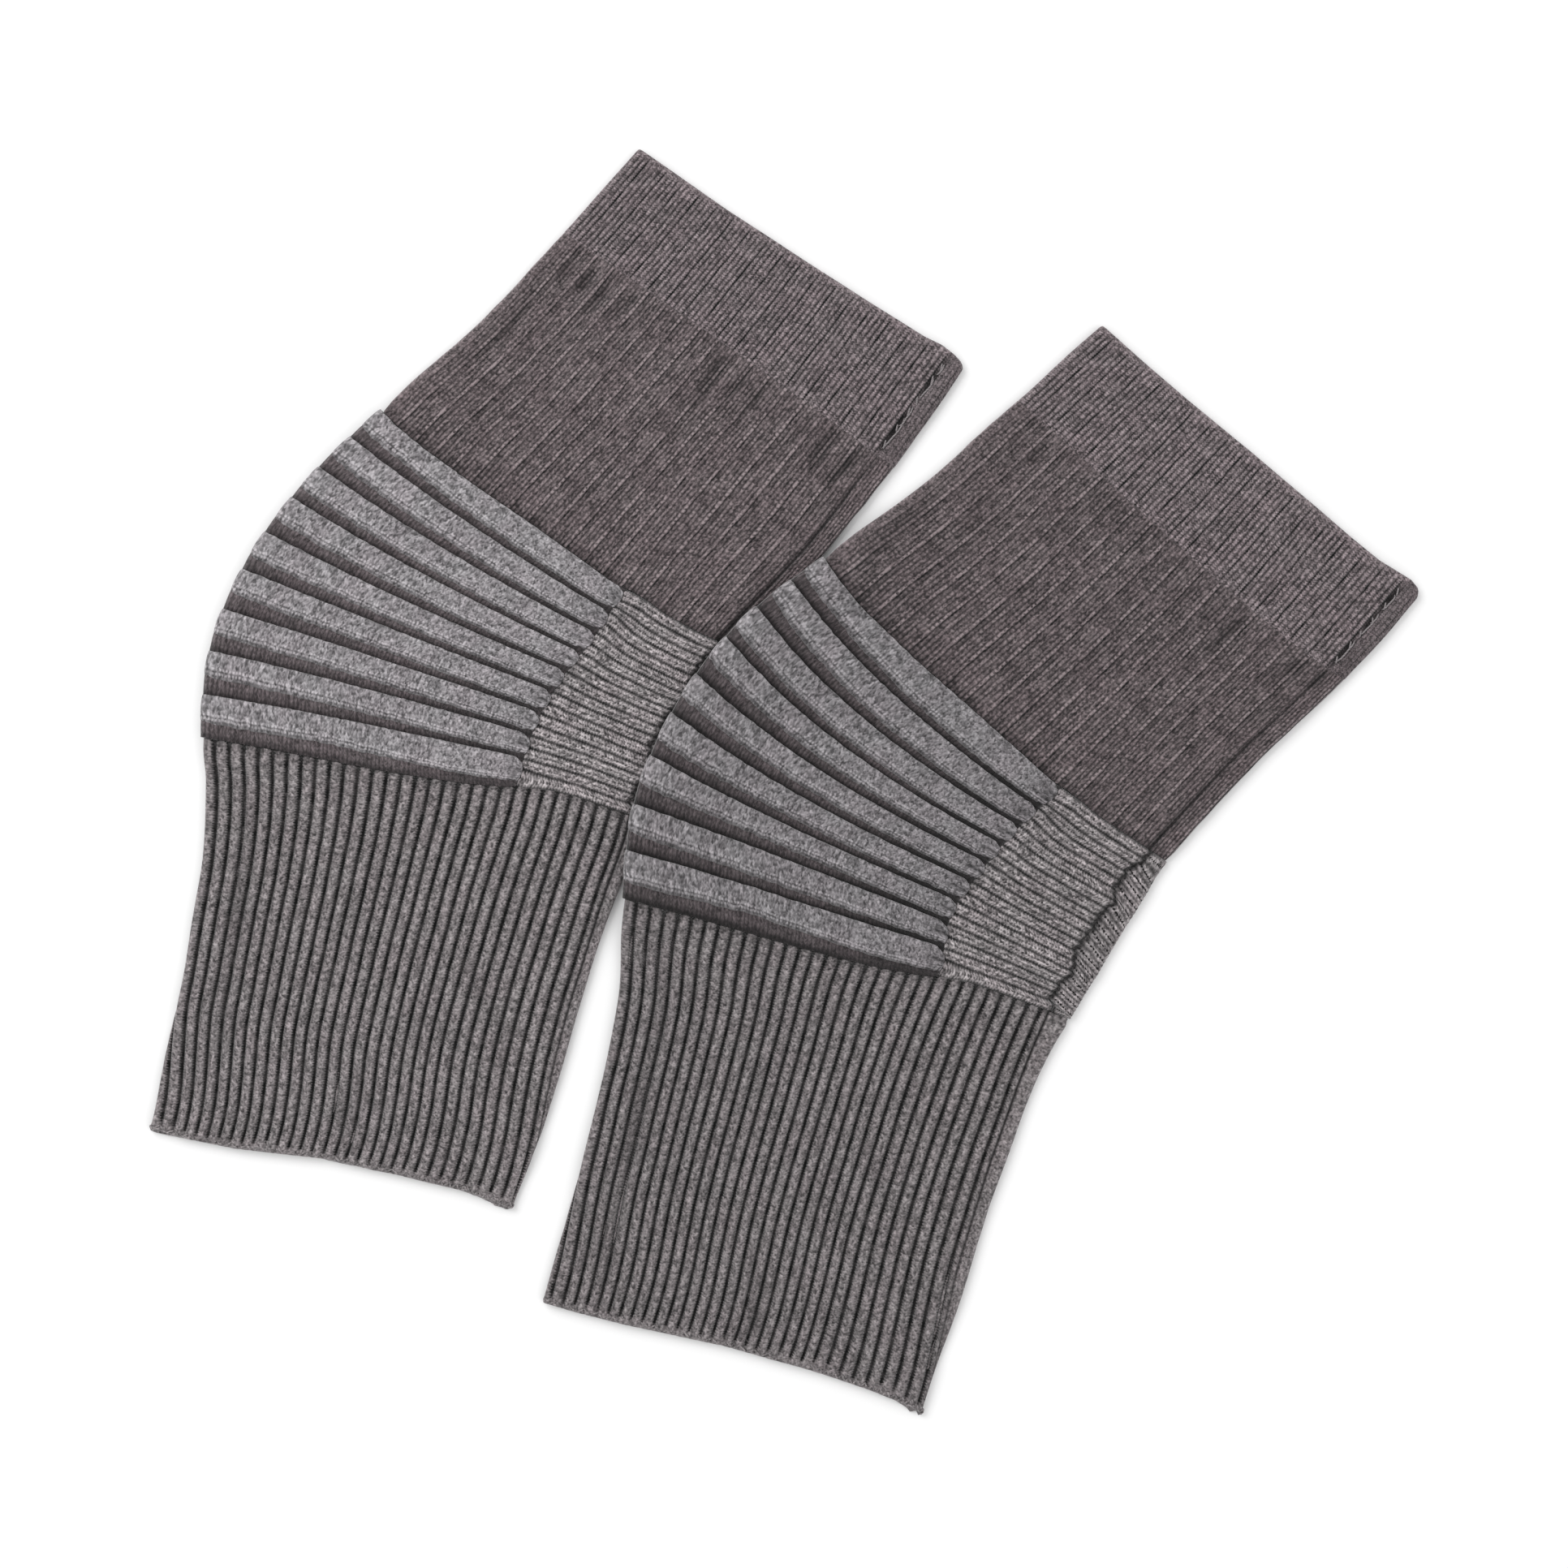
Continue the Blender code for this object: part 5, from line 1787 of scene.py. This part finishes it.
class KNEEWARMERS_OT_stitching(bpy.types.Operator):
    """Sew the cuffs' seams and overlock the hems"""

    bl_idname = "kneewarmers.stitching"
    bl_label = "Stitching"

    def execute(self, context):
        radius = size_of("thread_radius")
        for warmer in PAIR:
            seam = thread_mesh(f"{warmer.side}_cuff_seam_stitches", cuff_seam_paths(warmer), radius)
            add_piece(seam, "thread")
            hem = thread_mesh(f"{warmer.side}_hem_overlock", hem_paths(warmer), radius)
            add_piece(hem, "calf")
        return {"FINISHED"}


# The stage, in metres and watts.
FLOOR_SIZE = 12.0
FLOOR_GAP = 0.0001  # the floor lies this far under the pair
CAMERA_PLACE = (0.00015, -0.0006, 1.0919)
CAMERA_LENS = 70.0
CAMERA_SENSOR = 36.0
CAMERA_REACH = 50.0
LIGHTS = (  # name, place, size and power
    ("key_light", (-1.1, 1.1, 1.5), 1.4, 22.0),
    ("fill_light", (1.4, -0.8, 1.9), 2.0, 8.0),
)
SKY_STRENGTH = 0.80


class KNEEWARMERS_OT_stage(bpy.types.Operator):
    """Set up the plain floor, the soft light and the camera"""

    bl_idname = "kneewarmers.stage"
    bl_label = "Stage"

    def execute(self, context):
        scene = context.scene
        low, high = (mathutils.Vector(corner) for corner in CAD_BOX)
        bpy.ops.mesh.primitive_grid_add(
            x_subdivisions=8, y_subdivisions=8, size=FLOOR_SIZE, location=(0.0, 0.0, low.z - FLOOR_GAP)
        )
        floor = context.object
        floor.name = "studio_floor"
        floor.data.materials.append(floor_finish())

        camera_data = bpy.data.cameras.new("camera")
        camera_data.lens = CAMERA_LENS
        camera_data.sensor_width = CAMERA_SENSOR
        camera_data.clip_end = CAMERA_REACH
        camera = bpy.data.objects.new("camera", camera_data)
        camera.location = CAMERA_PLACE
        scene.collection.objects.link(camera)
        scene.camera = camera

        for name, place, size, power in LIGHTS:
            light_data = bpy.data.lights.new(name, "AREA")
            light_data.size = size
            light_data.energy = power
            light = bpy.data.objects.new(name, light_data)
            light.location = place
            toward = (low + high) / 2 - light.location
            light.rotation_euler = toward.to_track_quat("-Z", "Y").to_euler()
            scene.collection.objects.link(light)

        world = bpy.data.worlds.new("soft_studio")
        world.use_nodes = True
        sky = world.node_tree.nodes["Background"]
        sky.inputs["Color"].default_value = (1.0, 1.0, 1.0, 1.0)
        sky.inputs["Strength"].default_value = SKY_STRENGTH
        scene.world = world
        scene.view_settings.view_transform = "Standard"
        scene.view_settings.look = "None"
        return {"FINISHED"}


STEPS = (
    KNEEWARMERS_OT_stage,
    KNEEWARMERS_OT_cuffs,
    KNEEWARMERS_OT_thighs,
    KNEEWARMERS_OT_knees,
    KNEEWARMERS_OT_bands,
    KNEEWARMERS_OT_pits,
    KNEEWARMERS_OT_calves,
    KNEEWARMERS_OT_stitching,
)


class KNEEWARMERS_PT_panel(bpy.types.Panel):
    """Lists the steps that make the pair, with their sizes and colours"""

    bl_label = "Knee Warmers"
    bl_idname = "KNEEWARMERS_PT_panel"
    bl_space_type = "VIEW_3D"
    bl_region_type = "UI"
    bl_category = "Knee Warmers"

    def draw(self, context):
        for settings in (context.scene.knee_warmer_sizes, context.scene.knee_warmer_colours):
            box = self.layout.box()
            for key in settings.bl_rna.properties.keys():
                if key not in ("rna_type", "name"):
                    box.prop(settings, key)
        for step in STEPS:
            self.layout.operator(step.bl_idname)


CLASSES = (SizeSettings, ColourSettings, *STEPS, KNEEWARMERS_PT_panel)


def register():
    """Makes the panel, its settings and its steps known to Blender."""
    for cls in CLASSES:
        bpy.utils.register_class(cls)
    bpy.types.Scene.knee_warmer_sizes = bpy.props.PointerProperty(type=SizeSettings)
    bpy.types.Scene.knee_warmer_colours = bpy.props.PointerProperty(type=ColourSettings)


def unregister():
    """Takes them away again."""
    del bpy.types.Scene.knee_warmer_colours
    del bpy.types.Scene.knee_warmer_sizes
    for cls in reversed(CLASSES):
        bpy.utils.unregister_class(cls)


def main():
    """Builds the stage and the pair."""
    register()
    for step in STEPS:
        category, _, operation = step.bl_idname.partition(".")
        result = getattr(getattr(bpy.ops, category), operation)()
        if result != {"FINISHED"}:
            raise RuntimeError(f"{step.bl_label} could not finish")


if __name__ == "__main__":
    main()
